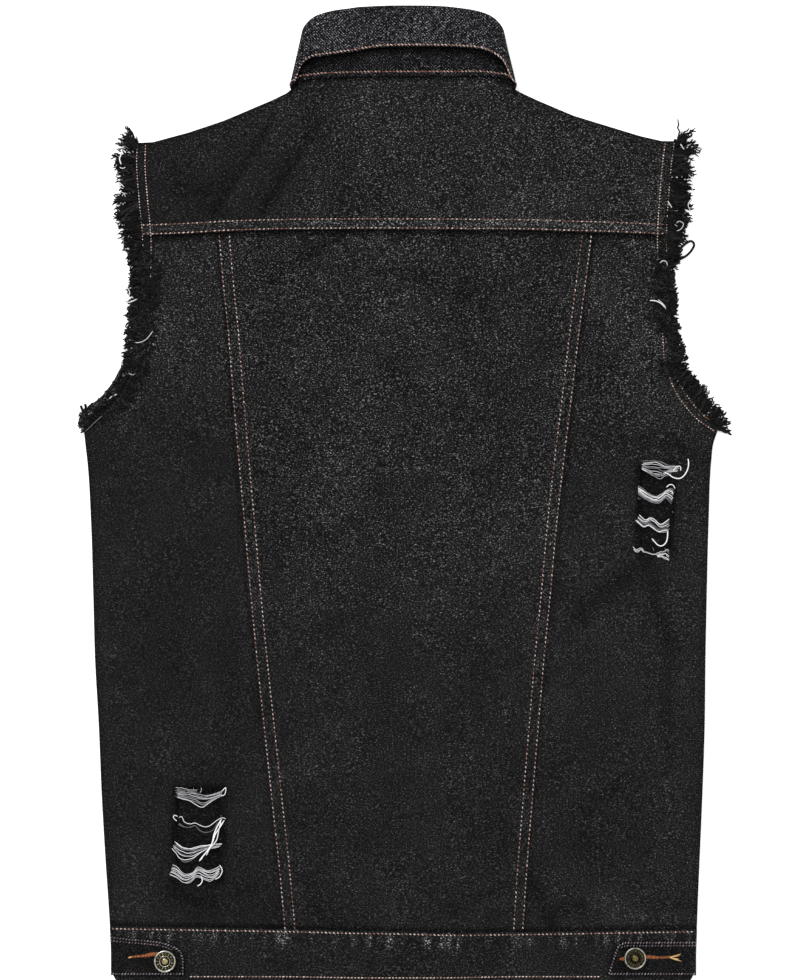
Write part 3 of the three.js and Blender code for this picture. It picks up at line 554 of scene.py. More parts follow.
def lying(flat, level, lift):
    """A path of (x, height, z) points that follows a surface at a lift above its level."""
    return np.column_stack([flat, level(flat[:, 0], flat[:, 1]) + lift])


def threads(name, made, material, sides=4):
    """Many loose threads as one mesh of thin tubes, each given as its path, radius and tint. A
    path is a line of (x, height, z) points."""
    points, faces, tint, base = [], [], [], 0
    for path, radius, shade in made:
        path = np.asarray(path, float) - (0, ORIGIN_HEIGHT, 0)
        run = np.gradient(path, axis=0)
        run /= np.linalg.norm(run, axis=1)[:, None] + 1e-9
        aside = np.cross(run, (0.13, 0.11, 1.0))
        aside /= np.linalg.norm(aside, axis=1)[:, None] + 1e-9
        up = np.cross(aside, run)
        count = len(path)
        taper = np.full(count, radius)
        taper[-1] *= 0.6
        taper[0] *= 0.7
        for angle in np.arange(sides) * 2 * math.pi / sides:
            points.append(path + (aside * math.cos(angle) + up * math.sin(angle)) * taper[:, None])
        for k in range(sides):
            n = (k + 1) % sides
            for j in range(count - 1):
                faces.append((base + k * count + j, base + n * count + j,
                              base + n * count + j + 1, base + k * count + j + 1))
        faces.append(tuple(base + k * count for k in range(sides))[::-1])
        faces.append(tuple(base + k * count + count - 1 for k in range(sides)))
        tint += [shade] * (sides * count)
        base += sides * count
    mesh = mesh_from(name, np.concatenate(points), faces)
    add_value(mesh, "tint", tint)
    return add_object(name, mesh, material)


# Materials


def new_material(name):
    material = bpy.data.materials.new(name)
    material.use_nodes = True
    tree = material.node_tree
    return material, tree, tree.nodes["Principled BSDF"]


def object_millimetres(tree, scale=(1000, 1000, 1000)):
    coordinates = tree.nodes.new("ShaderNodeTexCoord")
    mapping = tree.nodes.new("ShaderNodeMapping")
    mapping.inputs["Scale"].default_value = scale
    tree.links.new(coordinates.outputs["Object"], mapping.inputs["Vector"])
    return mapping.outputs["Vector"]


def noise(tree, vector, scale, detail=2.0, roughness=0.5):
    node = tree.nodes.new("ShaderNodeTexNoise")
    node.inputs["Scale"].default_value = scale
    node.inputs["Detail"].default_value = detail
    node.inputs["Roughness"].default_value = roughness
    tree.links.new(vector, node.inputs["Vector"])
    return node.outputs["Fac"]


def math_node(tree, operation, a, b=None, c=None):
    node = tree.nodes.new("ShaderNodeMath")
    node.operation = operation
    for socket, value in zip(node.inputs, (a, b, c)):
        if value is None:
            continue
        if isinstance(value, (int, float)):
            socket.default_value = value
        else:
            tree.links.new(value, socket)
    return node.outputs[0]


def ramp(tree, fac, stops):
    node = tree.nodes.new("ShaderNodeValToRGB")
    elements = node.color_ramp.elements
    while len(elements) < len(stops):
        elements.new(0.5)
    for element, (place, colour) in zip(elements, stops):
        element.position = place
        element.color = (*colour, 1)
    tree.links.new(fac, node.inputs["Fac"])
    return node.outputs["Color"]


def bump(tree, height, shader, distance, strength):
    node = tree.nodes.new("ShaderNodeBump")
    node.inputs["Distance"].default_value = distance
    node.inputs["Strength"].default_value = strength
    tree.links.new(height, node.inputs["Height"])
    tree.links.new(node.outputs["Normal"], shader.inputs["Normal"])


def attribute(tree, name):
    node = tree.nodes.new("ShaderNodeAttribute")
    node.attribute_name = name
    return node.outputs["Fac"]


def twill_wave(tree, direction, scale):
    wave = tree.nodes.new("ShaderNodeTexWave")
    wave.wave_type = "BANDS"
    wave.bands_direction = "DIAGONAL"
    wave.inputs["Scale"].default_value = scale
    wave.inputs["Distortion"].default_value = 1.5
    wave.inputs["Detail"].default_value = 1.0
    wave.inputs["Detail Scale"].default_value = 1.2
    tree.links.new(object_millimetres(tree, direction), wave.inputs["Vector"])
    return wave.outputs["Fac"]


def denim(name, dark, pale, speck, twill=0.25, grain=1.0):
    """Washed twill: dark warp, fine pale specks of weft, faint diagonals and an uneven wash, scaled by each
    place's painted shade and highlight.
    """
    material, tree, shader = new_material(name)

    def plus(a, b):
        return math_node(tree, "ADD", a, b)

    def times(a, b):
        return math_node(tree, "MULTIPLY", a, b)

    plain = object_millimetres(tree)
    fine = noise(tree, object_millimetres(tree, (850 * grain, 1150 * grain, 1000)), 1.0, 0.6)
    second = noise(tree, object_millimetres(tree, (1300 * grain, 2300 * grain, 1000)), 1.0, 1.0)
    specks = plus(times(fine, 0.66), times(second, 0.34))
    rising = twill_wave(tree, (1000, 1000, 0), 0.27)
    falling = twill_wave(tree, (1000, -1000, 0), 0.24)
    diagonals = math_node(tree, "MULTIPLY_ADD", falling, 0.5, rising)
    dots = times(plus(diagonals, -0.75), 0.12 * twill)
    patches = times(plus(noise(tree, plain, 0.075), -0.5), 0.03)
    value = plus(plus(specks, dots), patches)
    contrast, threshold = 5.2, -2.5
    showing = math_node(tree, "MAXIMUM", math_node(tree, "MULTIPLY_ADD", value, contrast, threshold), 0.0)
    showing = times(math_node(tree, "POWER", showing, 1.5), attribute(tree, "worn"))
    colour = ramp(tree, showing, [(0.0, dark), (0.4, pale), (1.0, speck)])
    wash = plus(times(noise(tree, plain, 0.035, 3.0, 0.55), 0.4), 0.8)
    # Painted shade and highlight: each place's shade attribute, in steps of twice as bright.
    shaded = math_node(tree, "POWER", 2.0, attribute(tree, "shade"))
    mix = tree.nodes.new("ShaderNodeVectorMath")
    mix.operation = "SCALE"
    tree.links.new(colour, mix.inputs[0])
    tree.links.new(times(wash, shaded), mix.inputs["Scale"])
    tree.links.new(mix.outputs["Vector"], shader.inputs["Base Color"])
    tree.links.new(plus(times(fine, -0.2), 1.0), shader.inputs["Roughness"])
    shader.inputs["Specular IOR Level"].default_value = 0.02
    shader.inputs["Sheen Weight"].default_value = 0.008
    shader.inputs["Sheen Roughness"].default_value = 0.45
    bump(tree, plus(specks, times(rising, 0.2)), shader, 0.0005, 0.6)
    return material


def thread_finish(name, shadow, middle, pale, roughness=0.8, sheen=0.2, specular=0.25):
    """Spun thread whose colour goes from a dark to a middle to a pale one by each thread's tint."""
    material, tree, shader = new_material(name)
    plain = object_millimetres(tree)
    flecks = math_node(tree, "MULTIPLY", math_node(tree, "SUBTRACT", noise(tree, plain, 1.6, 2.0), 0.5), 0.4)
    tint = math_node(tree, "MULTIPLY_ADD", attribute(tree, "tint"), flecks, attribute(tree, "tint"))
    colour = ramp(tree, tint, [(0.0, shadow), (0.35, middle), (1.0, pale)])
    tree.links.new(colour, shader.inputs["Base Color"])
    shader.inputs["Roughness"].default_value = roughness
    shader.inputs["Specular IOR Level"].default_value = specular
    shader.inputs["Sheen Weight"].default_value = sheen
    bump(tree, noise(tree, object_millimetres(tree, (2200, 2200, 2200)), 1.0, 2.0), shader, 0.0002, 0.5)
    return material


def metal(name, dark, pale, roughness=0.3):
    material, tree, shader = new_material(name)
    plain = object_millimetres(tree)
    tarnish = noise(tree, plain, 0.55, 4.0, 0.6)
    tree.links.new(ramp(tree, tarnish, [(0.36, dark), (0.62, pale)]), shader.inputs["Base Color"])
    shader.inputs["Metallic"].default_value = 1.0
    tree.links.new(math_node(tree, "ADD", math_node(tree, "MULTIPLY", tarnish, 0.3), roughness - 0.12),
                   shader.inputs["Roughness"])
    bump(tree, noise(tree, plain, 2.4, 2.0), shader, 0.0001, 0.3)
    return material


DENIM = denim("washed_black_denim", (0.0056, 0.0056, 0.0056), (0.038, 0.038, 0.038), (0.23, 0.23, 0.23))
COLLAR_DENIM = denim("collar_denim", (0.0036, 0.0036, 0.0043), (0.042, 0.0415, 0.046), (0.34, 0.336, 0.352),
                     0.9, 1.3)
# The fronts' inner side, seen through the rips: black denim painted darker still, as shade.
INNER_DENIM_IN_PAINTED_SHADE = denim("inner_denim_in_painted_shade", (0.0038, 0.0038, 0.0038), (0.012, 0.012, 0.012), (0.04, 0.04, 0.04))
# The darkest tone of this thread and of the next also paints the shade line under each row of stitches.
TOPSTITCH = thread_finish("rust_and_cream_thread", (0.004, 0.003, 0.003), (0.15, 0.055, 0.032),
                          (0.80, 0.715, 0.665), 0.85, 0.05, 0.1)
TAB_STITCH = thread_finish("grey_violet_thread", (0.004, 0.003, 0.004), (0.10, 0.07, 0.09),
                           (0.56, 0.53, 0.57), 0.85, 0.05, 0.1)
FRAY_THREAD = thread_finish("loose_black_thread", (0.0024, 0.0024, 0.0025), (0.065, 0.065, 0.067),
                            (0.74, 0.74, 0.76), 0.9, 0.01, 0.06)
WEFT_THREAD = thread_finish("bare_weft_thread", (0.012, 0.011, 0.014), (0.22, 0.21, 0.225),
                            (0.88, 0.87, 0.89), 0.9, 0.05, 0.1)
HOLE_THREAD = thread_finish("buttonhole_thread", (0.10, 0.022, 0.006), (0.42, 0.13, 0.035),
                            (0.74, 0.50, 0.22), 0.6, 0.1)
RIM_METAL = metal("nickel_rim", (0.26, 0.25, 0.22), (0.62, 0.61, 0.57), 0.3)
DULL_METAL = metal("dull_rim", (0.16, 0.155, 0.13), (0.44, 0.43, 0.37), 0.36)
PIT_METAL = metal("dark_ring", (0.010, 0.010, 0.007), (0.045, 0.042, 0.028), 0.5)
BRASS = metal("aged_brass", (0.22, 0.175, 0.075), (0.56, 0.47, 0.24), 0.34)
DULL_BRASS = metal("dull_brass", (0.05, 0.042, 0.015), (0.20, 0.165, 0.06), 0.4)


# How pale or dark each place is: its wash, with painted shade in folds, creases, grooves and
# under edges and painted highlight on ridges. The shade functions give two values: the brightness, in steps
# of twice as bright, and how much pale weft shows.


def seam_shade(distance, along, seed):
    """Painted shade in the groove just outside a lapped edge; its ridge paler and patchy, partly from wear
    and partly as painted highlight.
    """
    groove = -1.5 * near(distance + 1.2, 1.2)
    ridge = 0.35 * near(distance - 0.8, 1.1) * (0.6 + 0.8 * lumps(along, along * 0, 5, seed))
    between = 0.18 * near(distance - 5, 2.6) * lumps(along, along * 0, 9, seed + 1)
    return groove + ridge + between


def fold_shade(x, height):
    # Painted shade in folds, creases and along the outline, over an uneven tone.
    uneven = 0.16 * lumps(x, height, 33, 21) + 0.1 * lumps(x, height, 12, 22)
    rim = -0.5 * near(outline_distance(x, height), 3.0)
    folds = -FOLD_SHADE * fold_depth(x, height) - CREASE_SHADE * crease_depth(x, height)
    return folds + uneven + rim


RIPS = {
    "right": dict(left=181.0, right=206.5, low=327.5, high=392.5),
    "left": dict(left=-172.0, right=-136.5, low=76.5, high=147.0),
}


def rip_shade(x, height):
    """The cloth is darker just around the ripped patches, most of all right at their edge."""
    total = 0
    for rip in RIPS.values():
        dx = np.maximum(0, np.maximum(rip["left"] - x, x - rip["right"]))
        dh = np.maximum(0, np.maximum(rip["low"] - height, height - rip["high"]))
        total = total - 0.45 * near(dx, 4) * near(dh, 7) - 1.8 * near(dx, 1.6) * near(dh, 1.8)
    return total


def worn_places(x, height, low, high, start=215.0, end=430.0):
    """How much pale weft shows: low below the start, high above the end, and uneven everywhere."""
    share = low + (high - low) * step(height, start, end)
    return share * (1 + 0.12 * lumps(x, height, 27, 25) + 0.05 * lumps(x, height, 8, 26))


def between_rows(distance):
    """1 on the strip between the two rows of a lapped edge, 0 beside it."""
    return step(distance, 2.2, 3.6) * (1 - step(distance, 7.4, 9))


def edge_shadow(distance, reach, deep):
    return -deep * near(distance, reach)


def seams_shadow(x, height):
    """The shadows where a panel goes in under the yoke and under the waistband."""
    return edge_shadow(yoke_edge(x) - height, 2.1, 2.8) + edge_shadow(height - waist_edge(x), 2.6, 1.8)


def yoke_shade(x, height):
    # Painted shadow under the collar's stand at the neck and along the yoke's lapped lower edge.
    neck = edge_shadow(top_edge(x) - height - 1.5, 2.4, 1.9) * (np.abs(x - COLLAR_MIDDLE) < 86)
    seam = height - yoke_edge(x)
    to_right, on_strip = step(x, -52, -22), between_rows(seam)
    under = edge_shadow(seam, 1.2, 2.2)
    high = step(height, 605, 650)
    wash = -0.1 - 0.14 * to_right + 0.14 * (1 - high) * step(x, -20, 80)
    shade = fold_shade(x, height) + seam_shade(seam, x, 31) + neck + under + wash + 0.35 * on_strip
    worn = worn_places(x, height, 0.39, 0.39) * (1 + 0.3 * high + (0.95 - 0.3 * high) * step(x, -115, -20))
    return shade, worn + 0.3 * on_strip


def centre_shade(x, height):
    lapped = seam_shade(inside_princess(x, height), height, 32)
    wash = 0.16 - 0.34 * step(height, 250, 480) - 0.2 * step(height, 280, 330) * (1 - step(x, -85, -20))
    shade = fold_shade(x, height) + lapped + seams_shadow(x, height) + wash
    return shade, worn_places(x, height, 0.44, 0.78)


def side_shade(x, height):
    shadow = edge_shadow(outside_princess(x, height), 1.9, 1.1) + seams_shadow(x, height)
    on_left = worn_places(x, height, 0.33, 0.66, 370, 500)
    worn = np.where(x < 0, on_left, worn_places(x, height, 0.44, 0.84, 330, 540))
    wash = 0.32 - 0.32 * step(height, 250, 480) - 0.14 * step(x, 0, 1) * step(height, 330, 420)
    return fold_shade(x, height) + shadow + rip_shade(x, height) + wash, worn


def band_shade(x, height):
    near_top = near(waist_edge(x) - height - 7, 5)
    streaks = np.maximum(0, lumps(x, height * 0, 3.2, 9) + 0.15) * (0.8 + 0.4 * lumps(x, height * 0, 31, 10))
    shade = near_top * (-0.25 + 1.9 * streaks) + 0.15 * lumps(x, height, 14, 23)
    return shade + 0.2, 0.44 + 0.9 * near_top * streaks + 0.08 * lumps(x, height, 10, 24)


# Back panels


def on_side(side):
    return lambda height: outline(side, height)


def no_bend(value):
    return lambda x: np.full(np.shape(x), float(value))


def body_rows(first, last, spacing, corner=UNDERARM):
    """Row heights with one exactly at the underarm corner."""
    rows = stations(first, last, spacing)
    rows[np.argmin(np.abs(rows - corner))] = corner
    return rows


# Spacing of the grid of points on the body panels.
GRAIN = 3.0


def make_yoke():
    mesh = panel_mesh("yoke_cloth", stations(YOKE_REFERENCE, SHOULDER_REFERENCE, 1.9), shares(412, GRAIN),
                      on_side("left"), on_side("right"), yoke_edge, top_edge, yoke_level, ease=1,
                      shade=yoke_shade)
    piece = add_object("yoke_cloth", mesh, DENIM)
    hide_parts("back_yoke")


def make_centre():
    mesh = panel_mesh("centre_back_cloth", stations(WAIST_REFERENCE - TUCK, YOKE_REFERENCE + TUCK, GRAIN),
                      shares(235, GRAIN), lambda h: princess("left", h), lambda h: princess("right", h),
                      tucked_waist, tucked_yoke, centre_level, shade=centre_shade)
    piece = add_object("centre_back_cloth", mesh, DENIM)
    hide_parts("centre_back")


def cut_hole(piece, side):
    """Cuts the worn patch out of a side back, with an uneven edge."""
    rip = RIPS[side]
    centre_x, centre_h = (rip["left"] + rip["right"]) / 2, (rip["low"] + rip["high"]) / 2
    half_x, half_h = (rip["right"] - rip["left"]) / 2, (rip["high"] - rip["low"]) / 2
    count = 72
    angle = np.arange(count) * 2 * math.pi / count
    cosine, sine = np.cos(angle), np.sin(angle)
    squared = 1 / (np.abs(cosine) ** 6 + np.abs(sine) ** 6) ** (1 / 6)
    jag = rng.uniform(-1.1, 1.1, count)
    x = centre_x + (half_x + jag) * cosine * squared
    y = centre_h - ORIGIN_HEIGHT + (half_h + jag) * sine * squared
    points = np.concatenate([np.column_stack([x, y, np.full(count, z)]) for z in (-10.0, 30.0)])
    faces = [tuple(range(count))[::-1], tuple(range(count, 2 * count))]
    faces += [(k, (k + 1) % count, count + (k + 1) % count, count + k) for k in range(count)]
    cutter = bpy.data.objects.new("cutter", mesh_from("cutter", points, faces))
    bpy.context.scene.collection.objects.link(cutter)
    modifier = piece.modifiers.new("worn_hole", "BOOLEAN")
    modifier.object, modifier.operation, modifier.solver = cutter, "DIFFERENCE", "EXACT"
    bpy.context.view_layer.update()
    cut = bpy.data.meshes.new_from_object(piece.evaluated_get(bpy.context.evaluated_depsgraph_get()))
    piece.modifiers.remove(modifier)
    piece.data = cut
    cut.shade_smooth()
    bpy.data.objects.remove(cutter)


def make_side(side):
    tuck = 3.5 if side == "left" else -3.5
    edges = on_side(side), lambda h: princess(side, h) + tuck
    left, right = edges if side == "left" else edges[::-1]
    name = f"side_back_{side}_cloth"
    rows = body_rows(WAIST_REFERENCE - TUCK, YOKE_REFERENCE + TUCK, GRAIN)
    mesh = panel_mesh(name, rows, shares(110, GRAIN), left, right, tucked_waist, tucked_yoke,
                      side_level, shade=side_shade)
    piece = add_object(name, mesh, DENIM)
    cut_hole(piece, side)
    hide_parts(f"side_back_{side}")


make_yoke()
make_centre()
for side in SIDES_IN_TURN:
    make_side(side)


# Fronts, which lie underneath

NECK_ANGLES = np.radians(np.linspace(0, 87, 30))


def front_top(x, facing):
    half_width = SEAM_HALF_WIDTH + SEAM_GAP
    beyond = np.maximum(0, -facing * (x - COLLAR_MIDDLE))
    scoop = np.sqrt(np.clip(1 - (beyond / half_width) ** 2, 0, 1))
    neckline = FRONT_NECK_TOP - SEAM_GAP - FRONT_NECK_DROP * scoop
    return np.where(beyond < half_width, neckline, np.minimum(FRONT_NECK_TOP, top_edge(x)))


def make_front(side):
    facing = 1 if side == "left" else -1
    outer = lambda h: outline(side, h) + 0.6 * facing
    inner = no_bend(facing * OVERLAP_HALF)
    at_top = float(outer(SHOULDER_REFERENCE))
    neck = COLLAR_MIDDLE - facing * (SEAM_HALF_WIDTH + SEAM_GAP) * np.cos(NECK_ANGLES)
    outside = np.linspace(at_top, NECK_LEFT if side == "left" else NECK_RIGHT, 24)
    beyond = np.linspace(neck[-1], facing * OVERLAP_HALF, 7)[1:]
    x = np.concatenate([[at_top, at_top + 0.5 * facing], outside[1:], neck, beyond])
    columns = np.clip((x - at_top) / (facing * OVERLAP_HALF - at_top), 0, 1)
    left, right = (outer, inner) if side == "left" else (inner, outer)
    columns = columns if side == "left" else (1 - columns)[::-1]
    name = f"front_{side}_cloth"
    level = left_front_level if side == "left" else right_front_level
    mesh = panel_mesh(name, body_rows(WAIST_REFERENCE - TUCK, SHOULDER_REFERENCE, 6), columns, left, right,
                      tucked_waist, lambda x: front_top(x, facing), level,
                      shade=lambda x, h: (0.2 * lumps(x, h, 20, 24), 0.7))
    piece = add_object(name, mesh, INNER_DENIM_IN_PAINTED_SHADE)
    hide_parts(f"front_{side}")


for side in SIDES_IN_TURN:
    make_front(side)


def make_placket():
    top = FRONT_NECK_TOP - FRONT_NECK_DROP - 2
    level = lambda x, h: left_front_level(x, h) - CLOTH - SEAM_GAP
    mesh = panel_mesh("placket_cloth", stations(WAIST_REFERENCE - TUCK, top, 6), shares(40, 2.5),
                      no_bend(-OVERLAP_HALF), no_bend(OVERLAP_HALF), tucked_waist,
                      no_bend(top), level, shade=lambda x, h: (0.2 * lumps(x, h, 15, 27), 0.6))
    piece = add_object("placket_cloth", mesh, DENIM)
    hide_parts("placket")


make_placket()


# Waistband and tabs


def make_band(name, node, left, right, width, level, spacing):
    mesh = panel_mesh(name, stations(0, WAIST_REFERENCE, 1.7), shares(width, spacing), left, right,
                      no_bend(0), waist_edge, level, BAND_WALL, shade=band_shade)
    piece = add_object(name, mesh, DENIM)
    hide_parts(node)


make_band("waistband_back_cloth", "waistband_back", on_side("left"), on_side("right"), 447, band_level,
          1.8)
make_band("waistband_left_cloth", "waistband_front_left", on_side("left"), no_bend(OVERLAP_HALF), 242,
          lambda x, h: LEFT_BAND_LEVEL * middle_lift(x), 4)
make_band("waistband_right_cloth", "waistband_front_right", no_bend(-OVERLAP_HALF), on_side("right"), 246,
          lambda x, h: RIGHT_BAND_LEVEL * middle_lift(x), 4)


def tab_level(x, height):
    """Underside of the tabs, which lie on both layers of the waistband."""
    return 2 * (BAND_WALL + SEAM_GAP) + 0.2 * lumps(x, height, 13, 41)


def tab_shade(side, x, height):
    """Tabs are painted darker than the band as shade, darkest close round their button."""
    from_button = np.hypot(x - TAB_BUTTONS[side][0], height - TAB_BUTTONS[side][1])
    return -0.3 + 0.3 * lumps(x, height, 7, 42) + edge_shadow(from_button, 13, 0.9)


def make_tab(side):
    table = TAB_LEFT if side == "left" else TAB_RIGHT
    first, last = table[0, 0], table[-1, 0]
    width = last - first
    name = f"tab_{side}_cloth"
    mesh = panel_mesh(name, stations(TAB_BOTTOM, 31, 1.4), shares(width, 1.4), no_bend(first),
                      no_bend(last), no_bend(TAB_BOTTOM), lambda x: column(table, 1, x), tab_level,
                      BAND_WALL, ease=1, shade=lambda x, h: (tab_shade(side, x, h), 0.35))
    piece = add_object(name, mesh, DENIM)
    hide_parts(f"tab_{side}")


for side in SIDES_IN_TURN:
    make_tab(side)


# Collar

ROLL_HALF_WIDTH = 71.0
EDGE_HALF_WIDTH = 81.0
ROLL_TOP = 742.0
# Stations across each front, round each shoulder turn and across the back.
FRONT_STATIONS, TURN_STATIONS, BACK_STATIONS = 34, 14, 90


def collar_grid():
    """Stations round the collar: seam, roll and edge points and the way its layers stack."""
    seam, roll, edge, out = [], [], [], []

    def add(a, b, c, d):
        seam.append(a)
        roll.append(b)
        edge.append(c)
        out.append(d)

    def front(sign, order):
        for angle in order:
            t = angle / (math.pi / 2)
            cosine, sine = math.cos(angle), math.sin(angle)
            add((COLLAR_MIDDLE + sign * SEAM_HALF_WIDTH * cosine, FRONT_NECK_TOP - FRONT_NECK_DROP * sine),
                (COLLAR_MIDDLE + sign * max(7, ROLL_HALF_WIDTH * cosine), 722 - 100 * sine),
                (COLLAR_MIDDLE + sign * (SEAM_HALF_WIDTH - 21.5 * t),
                 673 - 124 * t + 5 * math.sin(math.pi * t)),
                (0, -1))

    def turn(sign, order):
        for degrees in order:
            t = (90 - degrees) / 180
            start = 682.8 if sign < 0 else 684.3
            narrow = EDGE_HALF_WIDTH + (SEAM_HALF_WIDTH - EDGE_HALF_WIDTH) * abs(2 * t - 1) ** 2
            add((COLLAR_MIDDLE + sign * SEAM_HALF_WIDTH, start + (676 - start) * t**4),
                (COLLAR_MIDDLE + sign * ROLL_HALF_WIDTH, 730.3 - 14.3 * t),
                (COLLAR_MIDDLE + sign * narrow, 684 - 7.5 * t),
                (sign * math.cos(math.radians(degrees)), math.sin(math.radians(degrees))))

    angles = np.radians(np.linspace(0, 87, FRONT_STATIONS))
    degrees = np.linspace(90, -90, TURN_STATIONS + 2)[1:-1]
    front(-1, angles[::-1])
    turn(-1, degrees[::-1])
    for x in np.linspace(COLLAR_MIDDLE - SEAM_HALF_WIDTH, COLLAR_MIDDLE + SEAM_HALF_WIDTH, BACK_STATIONS):
        aside = x - COLLAR_MIDDLE
        lapped = 2.2 * (1 - float(step(abs(aside), 72, 81)))
        add((x, float(top_edge(x)) + SEAM_GAP - lapped),
            (COLLAR_MIDDLE + aside * ROLL_HALF_WIDTH / SEAM_HALF_WIDTH, float(column(COLLAR_BACK, 1, x))),
            (x, float(column(COLLAR_BACK, 2, x))), (0, 1))
    turn(1, degrees)
    front(1, angles)
    return [np.array(v, float) for v in (seam, roll, edge, out)]


COLLAR = collar_grid()


def collar_points(part, along, turned, offset, wave=0.0):
    """One line round the collar, in millimetres: on the stand, the roll or the fall."""
    seam, roll, edge, out = COLLAR
    roll_radius = (FALL_RADIUS - STAND_RADIUS) / 2
    end = edge if part == "fall" else seam
    run = roll - end
    length = np.hypot(run[:, 0], run[:, 1])
    share = along if part == "stand" else 1 - along
    reach = length if part == "roll" else share * (length - roll_radius)
    angle = math.radians(turned)
    straight = roll_radius * (math.sin(angle) - 1) if part == "roll" else 0
    distance = reach + straight + offset * math.sin(angle)
    raised = STAND_RADIUS + roll_radius - (roll_radius + offset) * math.cos(angle)
    swell = wave * lumps(end[:, 0], end[:, 1] + 40 * along, 17, 51)
    x = end[:, 0] + run[:, 0] * distance / length + out[:, 0] * (raised + swell)
    height = end[:, 1] + run[:, 1] * distance / length
    return np.column_stack([x, height - ORIGIN_HEIGHT, COLLAR_CENTRE + out[:, 1] * (raised + swell)])


def make_collar():
    half = COLLAR_WALL / 2
    section = [("stand", a, 0) for a in (0, 0.012, 0.03, 0.1, 0.2, 0.3, 0.4, 0.5, 0.6, 0.7, 0.8, 0.9, 1)]
    section += [("roll", 0, d) for d in (22, 45, 67, 90, 113, 135, 158)]
    section += [("fall", a, 180) for a in (0, 0.08, 0.16, 0.24, 0.32, 0.4, 0.48, 0.56, 0.64, 0.72, 0.8, 0.88,
                                           0.94, 0.97, 0.985, 1)]
    thin = np.ones(len(section))
    thin[[0, 1, -2, -1]] = (0.3, 0.8, 0.8, 0.35)
    grids = [np.stack([collar_points(part, along, turned, sign * half * k, 0.35)
                       for (part, along, turned), k in zip(section, thin)]) for sign in (-1, 1)]
    middle = (grids[0] + grids[1]) / 2
    x, height = middle[..., 0], middle[..., 1] + ORIGIN_HEIGHT
    below_fall = column(COLLAR_BACK, 2, x) - height
    on_stand = np.array([part == "stand" for part, *_ in section])[:, None]
    # Painted shade: the stand darker under the fall, darkest just under its edge; the fall darker at the top
    # of the roll.
    reach = 2.6 + 4.2 * (1 - step(x, -60, -25)) + 2.2 * step(x, 45, 60)
    stand = -0.8 + edge_shadow(np.maximum(0, below_fall - 1), reach, 2.4) + 0.35 * lumps(x, height, 9, 53)
    fall = -0.04 + 0.2 * lumps(x, height, 26, 54) + edge_shadow(height - ROLL_TOP, 2.4, 0.8)
    shade = np.where(on_stand, stand, fall)
    worn = np.where(on_stand, 0.64, 0.73 + 0.1 * lumps(x, height, 14, 55))
    mesh = shell_mesh("collar_cloth", grids[0], grids[1], (shade, worn))
    mesh.flip_normals()
    piece = add_object("collar_cloth", mesh, COLLAR_DENIM)
    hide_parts("collar")


make_collar()


# Topstitching


def armhole_line(side, inset):
    """A line inside the raw armhole edge, from the underarm to the shoulder."""
    heights = np.linspace(UNDERARM + 0.6, 470, 60), np.linspace(473, SHOULDER_REFERENCE, 40)
    heights = np.concatenate(heights)
    line = np.column_stack([outline(side, heights), heights])
    run = np.gradient(line, axis=0)
    run /= np.linalg.norm(run, axis=1)[:, None]
    inward = 1 if side == "left" else -1
    return line + np.column_stack([run[:, 1], -run[:, 0]]) * inset * inward


def level_on_back(x, height):
    """Top of whichever back panel lies at a place."""
    on_yoke = height > yoke_edge(x)
    return np.where(on_yoke, yoke_level(x, height), side_level(x, height))


SURFACE = CLOTH + 0.12
BAND_SURFACE = BAND_WALL + 0.12
# Distances of the two rows of stitches from a lapped edge.
YOKE_ROWS = (2.0, 8.9)
PRINCESS_ROWS = {"left": (1.3, 8.9), "right": (1.3, 8.2)}

places = np.linspace(-197, 200, 140)
rows = [stitch_row(np.column_stack([places, yoke_edge(places) + up]), yoke_level, SURFACE, pale=0.6,
                   rust=(0.22, 0.5)) for up in YOKE_ROWS]
stitches("stitches_yoke", rows, TOPSTITCH)

# A short bar of slanting stitches that holds the hanger loop inside the neck.
LOOP_BAR = np.column_stack([np.linspace(-21.6, -26.4, 20), np.linspace(686.4, 671.4, 20)])
rows = [stitch_row(LOOP_BAR, yoke_level, SURFACE, 62, 2.6, 0.3, 0.3, LOOP_PITCH, (0.0, 0.06))]
stitches("stitches_loop_bar", rows, TAB_STITCH)

heights = np.linspace(waist_edge(0) + 1, YOKE_REFERENCE + 2, 160)
rows = []
for side, inward in (("left", 1), ("right", -1)):
    for inset in PRINCESS_ROWS[side]:
        line = np.column_stack([princess(side, heights) + inward * inset, heights])
        rows.append(stitch_row(line, centre_level, SURFACE, pale=0.6, radius=0.43, length=1.7,
                               rust=(0.0, 0.2)))
stitches("stitches_princess", rows, TOPSTITCH)

# The armhole's rows show only where the fray doesn't lie over them: side, distance from the
# edge, lowest and highest point, how pale the stitches are.
ARMHOLE_ROWS = (
    ("left", 2.0, 557, 640, 0.6), ("left", 8.4, 534, 640, 0.6), ("right", 1.2, 550, 640, 0.6),
    ("right", 8.0, 548, 640, 0.6), ("right", 8.4, 471, 497, 0.66),
)
